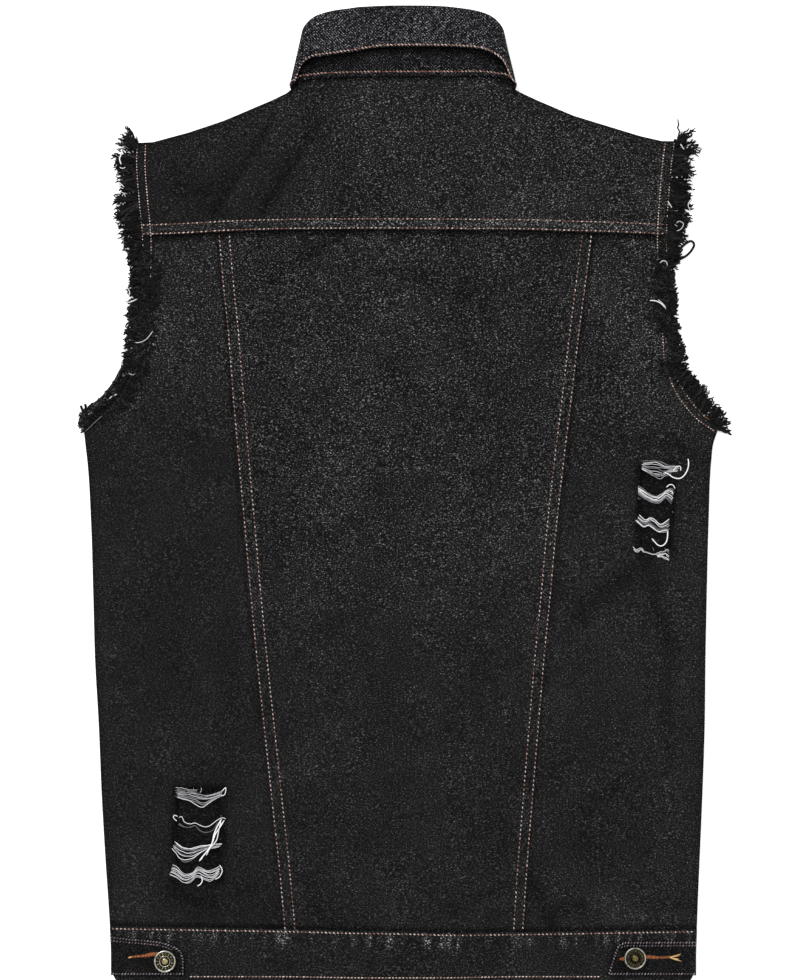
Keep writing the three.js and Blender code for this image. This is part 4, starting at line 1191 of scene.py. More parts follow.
# The rows under the right arm, where the fray stands away from the cloth.
UNDERARM_ROWS = (
    ((203.9, 464), (205.2, 457.5), (209.2, 448.5), (214.3, 440.4), (220.2, 433.2), (226.3, 427.1),
     (239.2, 418.4)),
    ((208.3, 461), (211.4, 455.4), (217, 447.2), (223.6, 437.6), (231.2, 430), (238.6, 423.4)),
    ((221.6, 441.4), (226, 435.8), (232.6, 429.8), (239, 424.6)),
)
rows = []
for side, inset, low, high, pale in ARMHOLE_ROWS:
    line = armhole_line(side, inset)
    line = line[(line[:, 1] > low) & (line[:, 1] < np.minimum(high, top_edge(line[:, 0]) - 0.6))]
    rows.append(stitch_row(line, level_on_back, SURFACE, 12, 1.1, 0.4, 1.25 * pale, ARMHOLE_PITCH,
                           (0.05, 0.3)))
for line, pale in zip(UNDERARM_ROWS, (0.7, 0.6, 0.4)):
    rows.append(stitch_row(line, level_on_back, SURFACE, 12, 1.1, 0.4, pale, ARMHOLE_PITCH, (0.12, 0.4)))
stitches("stitches_armholes", rows, TOPSTITCH)

# One row along the whole upper edge, and one along the hem between the two tabs.
places = np.linspace(-220, 223.5, 150)
between_tabs = places[(places > -162) & (places < 155)]
hem_line = np.column_stack([between_tabs, np.full(len(between_tabs), 3.5)])
rows = [stitch_row(np.column_stack([places, waist_edge(places) - 1.8]), band_level, BAND_WALL + 0.15,
                   slant=-32, pitch=BAND_PITCH),
        stitch_row(hem_line, band_level, BAND_SURFACE, pitch=HEM_PITCH)]
stitches("stitches_waistband", rows, TOPSTITCH)


# x of the lower corner at each tab's inner end.
TAB_CORNER = {"left": TAB_LEFT[-1, 0], "right": 157.0}


def tab_top_line(side, inset):
    """A line inside a tab's upper edge, from the side seam round the inner end."""
    table = TAB_LEFT if side == "left" else TAB_RIGHT[::-1]
    run = np.gradient(table, axis=0)
    run /= np.linalg.norm(run, axis=1)[:, None]
    inward = 1 if side == "right" else -1
    return table + np.column_stack([-run[:, 1], run[:, 0]]) * inward * inset


def tab_outer_line(side, inset):
    """The same line, carried on round the corner and back along the lower edge."""
    start = TAB_LEFT[0, 0] if side == "left" else TAB_RIGHT[-1, 0]
    corner = TAB_CORNER[side] + (-inset if side == "left" else inset)
    height = TAB_BOTTOM + inset
    return np.vstack([tab_top_line(side, inset), [(corner, height), (start, height)]])


rows, inner_rows = [], []
for side in SIDES_IN_TURN:
    outer = tab_outer_line(side, 1.3)
    rows.append(stitch_row(outer, tab_level, BAND_SURFACE, 50, 1.7, 0.33, 0.55, TAB_PITCH, (0.1, 0.3)))
    inner = tab_top_line(side, 3.6)
    rows.append(stitch_row(inner[:-2], tab_level, BAND_SURFACE, 50, 1.5, 0.34, 0.44, TAB_PITCH, (0.0, 0.14)))
    rusty = inner[:-2] if side == "left" else inner[inner[:, 0] > 188]
    inner_rows.append(stitch_row(rusty, tab_level, BAND_WALL + 0.14, 50, 1.0, 0.28, 0.3, TAB_INNER_PITCH,
                                 (0.04, 0.2)))
stitches("stitches_tabs", rows, TAB_STITCH)
stitches("stitches_tabs_inner", inner_rows, TOPSTITCH)


def stitches_on_collar(name, part, along, start, end, slant, pale):
    """A slanting row on the collar, which follows it over the turns at both sides."""
    turned_over, facing = (0, -1) if part == "stand" else (180, 1)
    line = collar_points(part, along, turned_over, facing * COLLAR_WALL / 2)[start:end]
    run = np.concatenate([[0], np.cumsum(np.linalg.norm(np.diff(line, axis=0), axis=1))])
    count = int(run[-1] / (COLLAR_PITCH / 2))
    at = (np.arange(count) + 0.5) * run[-1] / count
    place = np.stack([np.interp(at, run, line[:, k]) for k in range(3)], -1)
    made = []
    for i in range(1, count - 1):
        between = i % 2 == 1
        forward = place[i + 1] - place[i - 1]
        forward /= np.linalg.norm(forward)
        lean = math.radians(slant) + rng.normal(0, 0.08)
        turned = forward * math.cos(lean) + np.array([0, math.sin(lean), 0])
        half = (0.5 if between else 0.95) * rng.uniform(0.9, 1.1)
        path = np.array([place[i] + turned * half * s for s in (-1, -0.6, 0, 0.6, 1)])
        path[:, 2] += np.array([-0.15, 0.12, 0.2, 0.12, -0.15]) - 0.1 * between
        tint = rng.uniform(0.1, 0.38) if between else pale * rng.uniform(0.6, 1.25)
        made.append((path + (0, ORIGIN_HEIGHT, 0), 0.34 if between else 0.42, tint))
    threads(name, made, TOPSTITCH, sides=6)


back_start = FRONT_STATIONS + TURN_STATIONS
back_end = back_start + BACK_STATIONS
stitches_on_collar("stitches_collar_edge", "fall", 0.955, FRONT_STATIONS + 4, back_end + TURN_STATIONS - 4,
                   -36, 0.62)
stitches_on_collar("stitches_neck_seam", "stand", 0.073, back_start - 3, back_end + 3, -32, 0.5)


# Fray of the armholes


# height, then how far the fray lies inwards over the cloth: from and to on the left, on the right.
TURNED_IN = np.array([
    (428, 4.5, 5.5, 0, 0), (434, 5, 9, 0, 0), (445, 4, 12, 0, 0), (458, 3, 14, 0, 3), (466, 3, 15, 0, 14),
    (474, 2, 15, 0, 13), (478, 1, 15, 0, 5), (492, 0, 16, 0, 5), (499, 0, 16, 0, 14), (545, 0, 16, 0, 13),
    (552, 0, 12, 0, 9), (562, 0, 8, 0, 6), (570, 0, 2, 0, 2), (640, 0, 1, 0, 1),
], float)


def edge_place(line, run, at):
    """Point, direction along and direction out of a line at a distance along it."""
    foot = np.array([np.interp(at, run, line[:, k]) for k in (0, 1)])
    ahead = np.array([np.interp(at + 1, run, line[:, k]) for k in (0, 1)])
    behind = np.array([np.interp(at - 1, run, line[:, k]) for k in (0, 1)])
    tangent = (ahead - behind) / np.linalg.norm(ahead - behind)
    return foot, tangent, np.array([tangent[1], -tangent[0]])


def curled(start, heading, length, curl, turns, count=11):
    """A line that wanders from a start as woolly yarn does, with small loops."""
    t = np.linspace(0, 1, count)
    phase, bend = rng.uniform(0, 2 * math.pi), rng.normal(0, 0.5)
    aside = np.array([-heading[1], heading[0]])
    forward = length * t + curl * (np.cos(phase + 2 * math.pi * turns * t) - math.cos(phase))
    sideways = curl * (np.sin(phase + 2 * math.pi * turns * t) - math.sin(phase))
    sideways = sideways + bend * length * 0.35 * t**2
    return start + np.outer(forward, heading) + np.outer(sideways, aside), t


def rotated(vector, degrees):
    cosine, sine = math.cos(math.radians(degrees)), math.sin(math.radians(degrees))
    return np.array([vector[0] * cosine - vector[1] * sine, vector[0] * sine + vector[1] * cosine])


def yarn_tint():
    """Nearly black, now and then a worn grey."""
    return rng.uniform(0.05, 0.14) if rng.random() < 0.25 else rng.uniform(0, 0.04)


def with_run(line):
    """A line and the distance along it at each of its points."""
    return line, np.concatenate([[0], np.cumsum(np.hypot(*np.diff(line, axis=0).T))])


# How many tufts, yarns in a tuft, yarns combed inwards and yarns on the rolled hem there are.
TUFTS = {"back": 66, "front": 50}
YARNS_IN_TUFT = 11
COMBED_YARNS = {"left": 420, "right": 300}
ROLLED_YARNS = 230


def fray_paths(side, layer):
    """Tufts of woolly loosened yarn along a raw armhole edge. The yarns of a tuft lie close
    together and are about as long, so that the floor shows between the tufts."""
    outward = -1 if side == "left" else 1
    base = CLOTH + SEAM_GAP if layer == "back" else 0.0
    line, run = with_run(armhole_line(side, 0.0 if layer == "back" else 0.6))
    made = []
    for n in range(TUFTS[layer]):
        share = (n + 0.5 + rng.uniform(-0.3, 0.3)) / TUFTS[layer]
        foot, tangent, normal = edge_place(line, run, share * run[-1])
        normal = normal * outward
        at_end = step(share, 0.93, 1)
        fan = 46 * at_end - 26 * (1 - step(share, 0, 0.06))
        lean = outward * (fan + rng.normal(0, 17 - 9 * at_end))
        longest = float(column(FRAY, SIDE_COLUMN[side], foot[1]))
        reach = max(2.5, longest * rng.uniform(0.72, 1.06))
        crest = rng.uniform(0.8, 2.6) if layer == "back" else 0.5
        for k in range(YARNS_IN_TUFT):
            stray = k >= YARNS_IN_TUFT - 4
            own = reach * (rng.uniform(0.3, 0.75) if stray else rng.uniform(0.72, 1.0))
            start = foot + tangent * rng.normal(0, 2.2 if stray else 1.1) - normal * 1.5
            heading = rotated(normal, lean + rng.normal(0, 16 if stray else 6))
            curl = 0.75 * min(1.0, own / 7)
            flat, t = curled(start, heading, own + 1.5 - curl, curl, own / rng.uniform(4, 6.5))
            lift = crest * rng.uniform(0.15, 1.0) * np.sin(math.pi * np.clip(t * 0.95, 0, 1))
            z = base + CLOTH * rng.uniform(0.35, 0.8) + lift + 0.35 * np.sin(9 * t + n)
            radius = rng.uniform(0.4, 0.55) if stray else rng.uniform(0.5, 0.74)
            made.append((np.column_stack([flat, np.maximum(z, 0.5)]), radius, yarn_tint()))
    return made


def turned_in_paths(side):
    """Fray that is combed back over the seam: short curly yarns that lie on the cloth."""
    outward = -1 if side == "left" else 1
    line, run = with_run(armhole_line(side, 0.0))
    first = 1 if side == "left" else 3
    made = []
    while len(made) < COMBED_YARNS[side]:
        foot, _, normal = edge_place(line, run, rng.uniform(0, run[-1]))
        inner, outer = column(TURNED_IN, first, foot[1]), column(TURNED_IN, first + 1, foot[1])
        if rng.random() > (outer - inner) / 16 + 0.02:
            continue
        start = foot - normal * outward * rng.uniform(inner, max(inner + 0.5, outer - 2))
        heading = rotated(-normal * outward, rng.normal(0, 65))
        length = rng.uniform(2.5, 7) * min(1, (outer - inner + 2) / 9)
        fine = rng.random() < 0.3
        flat, t = curled(start, heading, length, 0.7, length / rng.uniform(3.5, 6))
        x = np.clip(flat[:, 0], outline("left", flat[:, 1]) - 1, outline("right", flat[:, 1]) + 1)
        lift = CLOTH + rng.uniform(0.1, 0.7) + 0.8 * np.sin(math.pi * t) * rng.random()
        radius = 0.25 if fine else rng.uniform(0.38, 0.6)
        made.append((lying(np.column_stack([x, flat[:, 1]]), level_on_back, lift), radius, yarn_tint()))
    return made


# Pale weft threads left in the fray: side, radius, points (x, height, lift above the surface).
PALE_THREADS = (
    ("left", 0.5, ((-212.6, 633.4, 2.4), (-212.9, 629.5, 2.6), (-214.2, 626, 2.6), (-213, 621.6, 2.4))),
    ("left", 0.34, ((-214, 619.6, 2.4), (-212, 618.6, 2.6), (-209.8, 619.6, 2.4))),
    ("left", 0.36, ((-215.1, 608.4, 2.0), (-213, 606.6, 2.4), (-210.9, 604.5, 2.2))),
    ("left", 0.3, ((-216.8, 607, 1.8), (-214, 604.6, 2.2), (-211.4, 603.2, 2.0))),
    ("left", 0.3, ((-213.5, 600.8, 1.8), (-211, 599.6, 2.2), (-209.6, 596.4, 2.0))),
    ("left", 0.28, ((-212.4, 597.6, 1.8), (-210.6, 599.8, 2.2), (-208.6, 599.2, 2.0))),
    ("left", 0.42, ((-222, 520, 1.4), (-214, 517.5, 1.8), (-207, 516.8, 2.0), (-201, 519.2, 1.9))),
    ("left", 0.34, ((-209, 529, 1.6), (-206.5, 524, 1.9), (-209, 519.5, 1.8), (-213, 516, 1.5))),
    ("left", 0.32, ((-203, 486, 1.4), (-198, 486.5, 1.7), (-193, 489.5, 1.8), (-189, 495, 1.5))),
    ("left", 0.3, ((-214, 478, 1.2), (-213, 472, 1.5), (-211, 466, 1.5), (-212, 460, 1.2))),
    ("left", 0.3, ((-207.5, 463, 1.2), (-204.5, 461.5, 1.5), (-202, 462.8, 1.4))),
    ("right", 0.5, ((189.5, 518.2, 1.2), (194, 517.8, 1.6), (198.5, 515.5, 1.7), (202, 511.5, 1.2))),
    ("right", 0.36, ((195.5, 519, 1.2), (199, 516, 1.8), (201.5, 513, 1.5))),
    ("right", 0.46, ((197, 546.8, 1.3), (199.5, 548.4, 1.8), (202, 547.5, 1.8), (203, 544.8, 1.3))),
    ("right", 0.3, ((208, 575, 1.8), (211.5, 578.5, 2.2), (215, 576.5, 2.2), (213, 572.5, 2.0),
                    (209, 570.8, 1.6))),
    ("right", 0.42, ((203.3, 593.6, 1.6), (204.7, 591.2, 1.8), (206.2, 588.9, 1.6))),
    ("right", 0.28, ((219, 614, 1.8), (222, 610, 2.1), (221, 605, 2.2), (223, 600.5, 1.8))),
    ("right", 0.28, ((225, 612.5, 1.6), (223.5, 607.5, 2.0), (226, 603, 1.8))),
    ("right", 0.42, ((212.8, 637.2, 2.4), (214, 635, 2.6), (215.4, 633.2, 2.4))),
    ("right", 0.26, ((221, 595.5, 1.8), (218.5, 591, 2.1), (220.5, 586, 1.9))),
)


def smooth_path(points, count):
    """A rounded line through a few points."""
    points = np.array(points, float)
    t = np.arange(len(points), dtype=float)
    table = smoothed(*np.column_stack([t, points]), steps=8)
    at = np.linspace(0, t[-1], count)
    return np.column_stack([np.interp(at, table[:, 0], table[:, k + 1]) for k in range(points.shape[1])])


# The hem of the left underarm is rolled over: the line (x, height, level) of its ridge.
ROLLED_RIDGE = (
    (-210.6, 469, 4.0), (-216, 457.5, 4.1), (-220.4, 451, 4.1), (-225.2, 445, 4.0), (-231.6, 439.4, 3.8),
    (-238, 434.8, 3.5), (-242.4, 430.4, 3.0), (-243.2, 425.4, 2.7), (-242.2, 421.2, 2.5),
)
# Radius, tint and line of that ridge, of the edge inside it and of the loose ends beside it.
ROLLED = (
    (2.3, 0.03, ROLLED_RIDGE),
    (2.0, 0.03, ((-208, 463, 3.8), (-213, 454, 4.0), (-218, 447.2, 3.9), (-224.6, 440.6, 3.7),
                 (-231.2, 434.6, 3.4), (-237.2, 429.2, 3.1), (-239.4, 422.6, 2.5))),
    (0.4, 0.8, ((-221.6, 443.4, 6.9), (-220.6, 444.6, 7.1), (-219.6, 445, 6.9))),
    (0.4, 0.8, ((-217.8, 445.6, 7.1), (-217, 446.4, 7.3), (-216, 446.6, 7.1))),
    (1.0, 0.03, ((-242, 433, 3.2), (-243.4, 436.6, 3.6), (-244, 438.2, 3.2))),
    (1.0, 0.02, ((-239.6, 434, 3.2), (-240.2, 437.6, 3.8), (-240.6, 439.4, 3.4))),
    (0.28, 0.42, ((-240.6, 418.4, 3.6), (-236.6, 422, 4.6), (-231.6, 426.8, 5.0), (-227.4, 430.4, 5.2))),
)


# A thick dark loop that stands off the right armhole just below the yoke.
DARK_LOOP = ((207, 551, 1.6), (212, 557, 2.0), (217.4, 562, 2.1), (221.6, 563.6, 1.9), (223.4, 560.4, 1.7),
             (220, 554.8, 1.6), (214.4, 550.6, 1.5), (208, 548.8, 1.4))


def rolled_paths():
    """The rolled hem and the short woolly yarns all over it, with more of them grey along its ridge as a
    painted highlight.
    """
    made = [(smooth_path(points, 16), radius, tint) for radius, tint, points in ROLLED]
    ridge = smooth_path(ROLLED_RIDGE, 60)
    for _ in range(ROLLED_YARNS):
        k = int(rng.integers(1, len(ridge) - 1))
        along = ridge[k + 1, :2] - ridge[k - 1, :2]
        along /= np.linalg.norm(along)
        inward = np.array([-along[1], along[0]])
        aside = rng.uniform(-1.9, 5.2)
        heading = rotated(along, rng.normal(0, 38))
        flat, _ = curled(ridge[k, :2] + inward * aside, heading, rng.uniform(1.8, 4), 0.5, 0.7)
        flat = flat - (flat[-1] - flat[0]) / 2
        level = ridge[k, 2] + 2.3 - 0.05 * (aside - 1.6) ** 2 + 0.3 * rng.random()
        # More grey yarns on and just outside the ridge: painted highlight.
        pale = rng.random() < (0.5 if aside < 1.5 else 0.2)
        radius = 0.34 if pale else rng.uniform(0.45, 0.65)
        tint = rng.uniform(0.14, 0.4) if pale else rng.uniform(0, 0.05)
        made.append((np.column_stack([flat, np.full(len(flat), level)]), radius, tint))
    return made


def pale_paths(side):
    made = []
    for owner, radius, points in PALE_THREADS:
        if owner == side:
            path = smooth_path(points, 14)
            inside = np.clip(path[:, 0], outline("left", path[:, 1]), outline("right", path[:, 1]))
            path[:, 2] += level_on_back(inside, path[:, 1]) + CLOTH * 0.7
            made.append((path, radius, rng.uniform(0.75, 1)))
    return made


for side in SIDES_IN_TURN:
    for layer in ("back", "front"):
        made = fray_paths(side, layer)
        if layer == "back":
            made += turned_in_paths(side) + pale_paths(side)
            made += rolled_paths() if side == "left" else [(smooth_path(DARK_LOOP, 24), 0.95, 0.03)]
        piece = threads(f"fray_{layer}_{side}_threads", made, FRAY_THREAD)
        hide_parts(f"fray_{layer}_{side}")


# Ripped patches

# Bundles of bare weft: side, number of threads, palest tint, then the points (x, height) of the
# bundle's upper thread and of its lower thread.
BUNDLES = (
    ("right", 9, 0.75,
     ((183, 395.5), (189, 397.2), (196, 397.5), (203, 394.5), (209.5, 393.2), (212.5, 391)),
     ((182.5, 390), (187.5, 387), (193, 384.5), (198.5, 384.2), (204, 387.5), (211.5, 388))),
    ("right", 3, 0.5, ((184, 391.5), (190, 388), (195, 386), (201, 389), (209, 391)),
     ((186, 388.5), (191.5, 384.5), (196.5, 381.8), (201, 383.6), (206, 386))),
    ("right", 9, 1.0,
     ((180, 377), (184.5, 375), (189, 371.6), (194, 369.8), (198.5, 372), (202, 374.6), (206, 375.8),
      (208.5, 373)),
     ((179, 371.5), (183, 368.4), (188, 365), (193.5, 362.8), (197.5, 364), (201, 367.4), (204, 364.8),
      (206, 362.2))),
    ("right", 9, 0.95,
     ((181, 355.5), (184, 353), (187, 352), (190, 354), (194, 352), (198, 349), (202, 351), (204.5, 352.6)),
     ((177.5, 350.6), (181, 347.8), (184.5, 344.6), (188, 346), (191, 344.8), (195, 341.6), (199, 341.2),
      (204, 341.5))),
    ("right", 4, 0.8, ((176, 331.6), (179, 329.5), (183, 330.5), (185, 327.5)),
     ((177, 328.5), (180, 326), (182.5, 328), (185.5, 326))),
    ("right", 2, 0.7, ((182, 328.2), (187, 327), (191, 325.6), (195, 325.6)),
     ((183, 327.4), (188, 325.8), (192, 324.8), (195.5, 324.6))),
    ("right", 7, 0.85, ((194, 325), (197, 327.4), (200, 328), (202.5, 330.5), (204.5, 328)),
     ((195, 323), (198, 322.5), (201, 321), (204.5, 319.2))),
    ("left", 8, 0.8,
     ((-171.5, 145.5), (-164.5, 146.4), (-157, 144.8), (-149.5, 143.4), (-142, 143.6), (-134.5, 145.6)),
     ((-170.5, 139.4), (-163.5, 137.4), (-157, 134.4), (-151, 132.4), (-144.5, 136.4), (-135, 141.4))),
    ("left", 3, 0.5,
     ((-172, 147.5), (-167, 147.8), (-161, 146.4), (-155, 145.8)),
     ((-172.6, 143), (-167, 144), (-161, 143), (-155, 143.6))),
    ("left", 1, 1.0,
     ((-169.9, 124.4), (-167.2, 125.6), (-164.9, 121.8), (-160.4, 120.1), (-156.6, 121.2), (-152.8, 119.3),
      (-146.7, 118.6), (-140.1, 123.1), (-136.3, 125), (-134.5, 123.1)),
     ((-169.9, 124), (-167.2, 125.2), (-164.9, 121.2), (-160.4, 119.5), (-156.6, 120.6), (-152.8, 118.5),
      (-146.7, 117.8), (-140.1, 122.6), (-136.3, 124.3), (-132.5, 123.1))),
    ("left", 2, 0.9,
     ((-168.7, 120.8), (-165.4, 118.2), (-160.4, 117.6), (-156.6, 119), (-152.8, 115.3), (-147.7, 114),
      (-142.9, 115.9), (-140, 121.4)),
     ((-169.7, 118.8), (-165.4, 117.4), (-160.4, 116.9), (-156.6, 118), (-152.8, 114.2), (-147.7, 112.9),
      (-142.9, 114.9), (-139, 120.4))),
    ("left", 8, 0.9,
     ((-171.8, 106.5), (-166, 103.4), (-158.5, 102.6), (-149.5, 104.6), (-141, 105.2), (-134.3, 105)),
     ((-176, 101), (-172, 97.4), (-169, 92.6), (-165, 90.2), (-159.5, 92.4), (-154, 96.6), (-149, 99.6),
      (-139.5, 101.8))),
    ("left", 8, 0.95,
     ((-175.3, 89), (-170.3, 87.6), (-164.8, 82.4), (-158.8, 83.6), (-153.8, 88.4), (-147.8, 85.4),
      (-141.8, 86.4), (-137.8, 88)),
     ((-177.3, 80.6), (-171.3, 78.8), (-164.8, 74.2), (-159.6, 75.6), (-155.3, 79.8), (-147.8, 76.8),
      (-143.8, 76.4), (-137.8, 82.4))),
)
# Single loose threads: side, radius, then points (x, height, lift above the cloth).
LOOSE = (
    ("right", 0.46, ((200, 387.5, 0.8), (203.5, 386, 1.0), (207, 383.5, 1.2), (211.5, 382.6, 1.2),
                     (215, 384.4, 1.2), (218, 389, 1.0), (219, 394, 0.8), (218.6, 397.8, 0.5))),
    ("right", 0.36, ((207, 388, 0.8), (209.5, 391.5, 1.2), (212.5, 391.8, 1.2), (213, 388.5, 0.8))),
    ("right", 0.36, ((202, 376, 0.6), (204.5, 378, 1.2), (207, 377.5, 1.2), (208.5, 375, 0.7))),
    ("right", 0.46, ((203, 342.5, 0.8), (202.8, 338, 1.0), (201.6, 333.8, 1.1), (198.6, 331.4, 1.0),
                     (195.5, 332, 0.9), (192.6, 335, 0.7), (191, 336.8, 0.5))),
    ("left", 0.44, ((-152.2, 80.5, 0.6), (-151.2, 76.8, 1.0), (-152.6, 74, 0.9), (-155, 72.4, 0.5))),
    ("left", 0.5, ((-136.6, 123.5, 0.8), (-140, 117.5, 1.4), (-142.4, 111.5, 1.7), (-143.6, 105.6, 1.8),
                   (-147, 99.9, 1.7), (-151, 95, 1.4), (-153.6, 91.6, 0.9))),
    ("left", 0.46, ((-134.5, 122.6, 0.8), (-138, 117, 1.6), (-141.2, 112.2, 1.9), (-143, 106.9, 2.0),
                    (-145.6, 101.2, 1.8), (-149.6, 96.8, 1.5), (-152.6, 92, 0.9))),
    ("left", 0.4, ((-137, 121.5, 0.7), (-138.8, 114.6, 1.2), (-140.4, 107.4, 1.5), (-145.4, 101.2, 1.4),
                   (-148.2, 96, 1.1))),
    ("left", 0.36, ((-138, 88.5, 0.6), (-136, 84.5, 1.0), (-138, 79.8, 1.0), (-141.4, 77.7, 0.7))),
    ("left", 0.32, ((-136.5, 144.5, 0.7), (-133.4, 147.5, 1.1), (-134, 142.5, 1.0), (-137, 141.1, 0.6))),
    ("left", 0.32, ((-170.5, 122, 0.6), (-173, 124.4, 1.0), (-172.4, 126.5, 1.0), (-170, 125.6, 0.6))),
)


def make_rip_threads(side):
    made = []
    for owner, count, palest, upper, lower in BUNDLES:
        if owner != side:
            continue
        top_line, low_line = smooth_path(upper, 26), smooth_path(lower, 26)
        share = np.linspace(0, 1, len(top_line))
        middle = np.sin(math.pi * share)
        for n in range(count):
            base = (n + 0.5 + rng.uniform(-0.3, 0.3)) / count
            drift = 0.16 * lumps(share * 22 + 17 * n, share * 0 + n, 6.0, 61) * middle
            place = np.clip(base + drift, 0, 1)[:, None]
            line = top_line * (1 - place) + low_line * place
            slide = (0.06 * rng.uniform(-1, 1) * (2 * share - 1))[:, None]
            line = line + (line - line.mean(axis=0)) * slide * 0.6
            line[:, 1] += 0.35 * lumps(share * 30 + 13 * n, share * 0 + n, 2.4, 62)
            lift = 0.3 + 0.9 * middle * rng.uniform(0.1, 1.0) + 0.2 * rng.normal()
            edge = np.minimum(share, 1 - share)
            lift = lift * step(edge, 0, 0.12) - 0.6 * (1 - step(edge, 0, 0.07))
            radius = rng.uniform(0.2, 0.31)
            tint = min(1.0, 1.1 * palest) * (1 - 0.8 * rng.random() ** 1.3)
            made.append((lying(line, side_level, CLOTH + lift), radius, tint))
    for owner, radius, points in LOOSE:
        if owner != side:
            continue
        path = smooth_path(points, 20)
        made.append((lying(path[:, :2], side_level, CLOTH + path[:, 2]), radius, 0.98))
    threads(f"rip_threads_{side}", made, WEFT_THREAD)


RIP_ENDS = 230


def make_rip_fuzz(side):
    """Short cut ends of black warp that stand into the hole all round it."""
    rip = RIPS[side]
    made = []
    width, tall = rip["right"] - rip["left"], rip["high"] - rip["low"]
    for n in range(RIP_ENDS):
        along = rng.uniform(0, 2 * (width + tall))
        if along < 2 * width:
            upward = along < width
            x = rip["left"] + along % width
            start = np.array([x, rip["high"] + 1 if upward else rip["low"] - 1])
            heading = np.array([rng.normal(0, 0.25), -1.0 if upward else 1.0])
            length = rng.uniform(1.5, 5.5)
        else:
            rightward = along - 2 * width < tall
            h = rip["low"] + (along - 2 * width) % tall
            start = np.array([rip["left"] - 1 if rightward else rip["right"] + 1, h])
            heading = np.array([1.0 if rightward else -1.0, rng.normal(0, 0.3)])
            length = rng.uniform(1.0, 3.2)
        t = np.linspace(0, 1, 5)
        flat = start + np.outer(t * length, heading) + np.outer(0.5 * np.sin(5 * t + n), heading[::-1])
        path = lying(flat, side_level, CLOTH * 0.8 + rng.uniform(-0.3, 0.5) * t)
        radius = rng.uniform(0.18, 0.3)
        tint = rng.uniform(0.3, 0.8) if rng.random() < 0.04 else rng.uniform(0, 0.06)
        made.append((path, radius, tint))
    threads(f"rip_fuzz_{side}", made, FRAY_THREAD)


for side in SIDES_IN_TURN:
    make_rip_threads(side)
    make_rip_fuzz(side)


# Buttonholes on the tabs, worked in rust thread


# side, then points (x, height) from the button outwards.
BUTTONHOLES = {
    "left": ((-185, 21.2), (-190, 20.8), (-195.5, 19.8), (-201, 19.4), (-206, 18.8)),
    "right": ((182, 19.2), (188, 19.0), (194, 18.6), (200, 18.6), (205, 19.0)),
}


def cord_arch(t):
    """Height of a round cord at t across it, from -1 to 1."""
    return np.sqrt(np.clip(1.05 - t**2, 0, 1))


def make_buttonhole(side):
    """Short stitches across a cord, loose pale ends at its tip and on the right a bar beside it."""
    made = []
    line = smooth_path(BUTTONHOLES[side], 60)
    run = np.gradient(line, axis=0)
    run /= np.linalg.norm(run, axis=1)[:, None]
    for i, (point, along) in enumerate(zip(line, run)):
        share = i / (len(line) - 1)
        half = (1.7 if share < 0.45 else 1.25) * rng.uniform(0.85, 1.1) * (1 - 0.4 * share)
        across = np.array([-along[1], along[0]]) + along * rng.normal(0.15, 0.1)
        t = np.linspace(-1, 1, 5)
        path = lying(point + np.outer(t * half, across), tab_level, BAND_WALL + 0.95 * cord_arch(t))
        made.append((path, 0.22, rng.uniform(0.0, 0.35)))
    tip, along = line[-1], run[-1]
    for n in range(12):
        spread = rng.normal(0, 0.1) if side == "left" else (0.12 if n % 2 else -0.3) + rng.normal(0, 0.07)
        heading = np.array([along[0], along[1] + spread])
        length = rng.uniform(1.5, 3.2 if side == "left" else 10)
        t = np.linspace(0, 1, 5)
        flat = tip - along * 1.5 + np.outer(t * length, heading) + np.outer(0.5 * t**2 * spread * 4, (0, 1))
        arch = 0.8 * np.sin(math.pi * t) * rng.uniform(0.2, 1)
        made.append((lying(flat, tab_level, BAND_WALL + 0.5 + arch), 0.26, rng.uniform(0.65, 1.0)))
    if side == "right":
        for n in range(8):
            t = np.linspace(-1, 1, 5)
            flat = np.column_stack([166.5 + 0.45 * n + 0.4 * t, 17.6 + t * (0.9 + 0.12 * n)])
            path = lying(flat, tab_level, BAND_WALL + 0.7 * cord_arch(t))
            made.append((path, 0.22, rng.uniform(0.05, 0.4)))
    threads(f"buttonhole_{side}", made, HOLE_THREAD)


for side in SIDES_IN_TURN:
    make_buttonhole(side)


# Buttons

# Turned outlines that start and end on the axis: (radius, up) as shares of the button's own.
RIM = ((0, 0), (0.86, 0), (0.95, 0.04), (0.995, 0.15), (1, 0.3), (0.99, 0.6), (0.965, 0.78), (0.93, 0.87),
       (0.885, 0.885), (0.85, 0.85), (0.825, 0.76), (0.81, 0.64), (0.8, 0.5), (0, 0.5))
PIT = ((0, 0.5), (0.805, 0.5), (0.8, 0.66), (0.7, 0.7), (0.55, 0.7), (0.45, 0.62), (0, 0.62))
INNER_RING = ((0, 0.6), (0.49, 0.6), (0.5, 0.8), (0.49, 0.9), (0.465, 0.92), (0.44, 0.86), (0.425, 0.74),
              (0, 0.74))
WELL = ((0, 0.7), (0.43, 0.7), (0.43, 0.78), (0, 0.78))
DOME = ((0, 0.6), (0.27, 0.64), (0.28, 0.82), (0.255, 0.92), (0.19, 0.985), (0.1, 1), (0, 1))
FRONT_PROFILE = ((0, 0), (0.9, 0), (0.98, 0.25), (1, 0.5), (0.97, 0.8), (0.9, 0.95), (0.82, 0.9),
                 (0.78, 0.74), (0.52, 0.74), (0.47, 0.93), (0.38, 0.97), (0.3, 0.82), (0.2, 0.98), (0, 1))


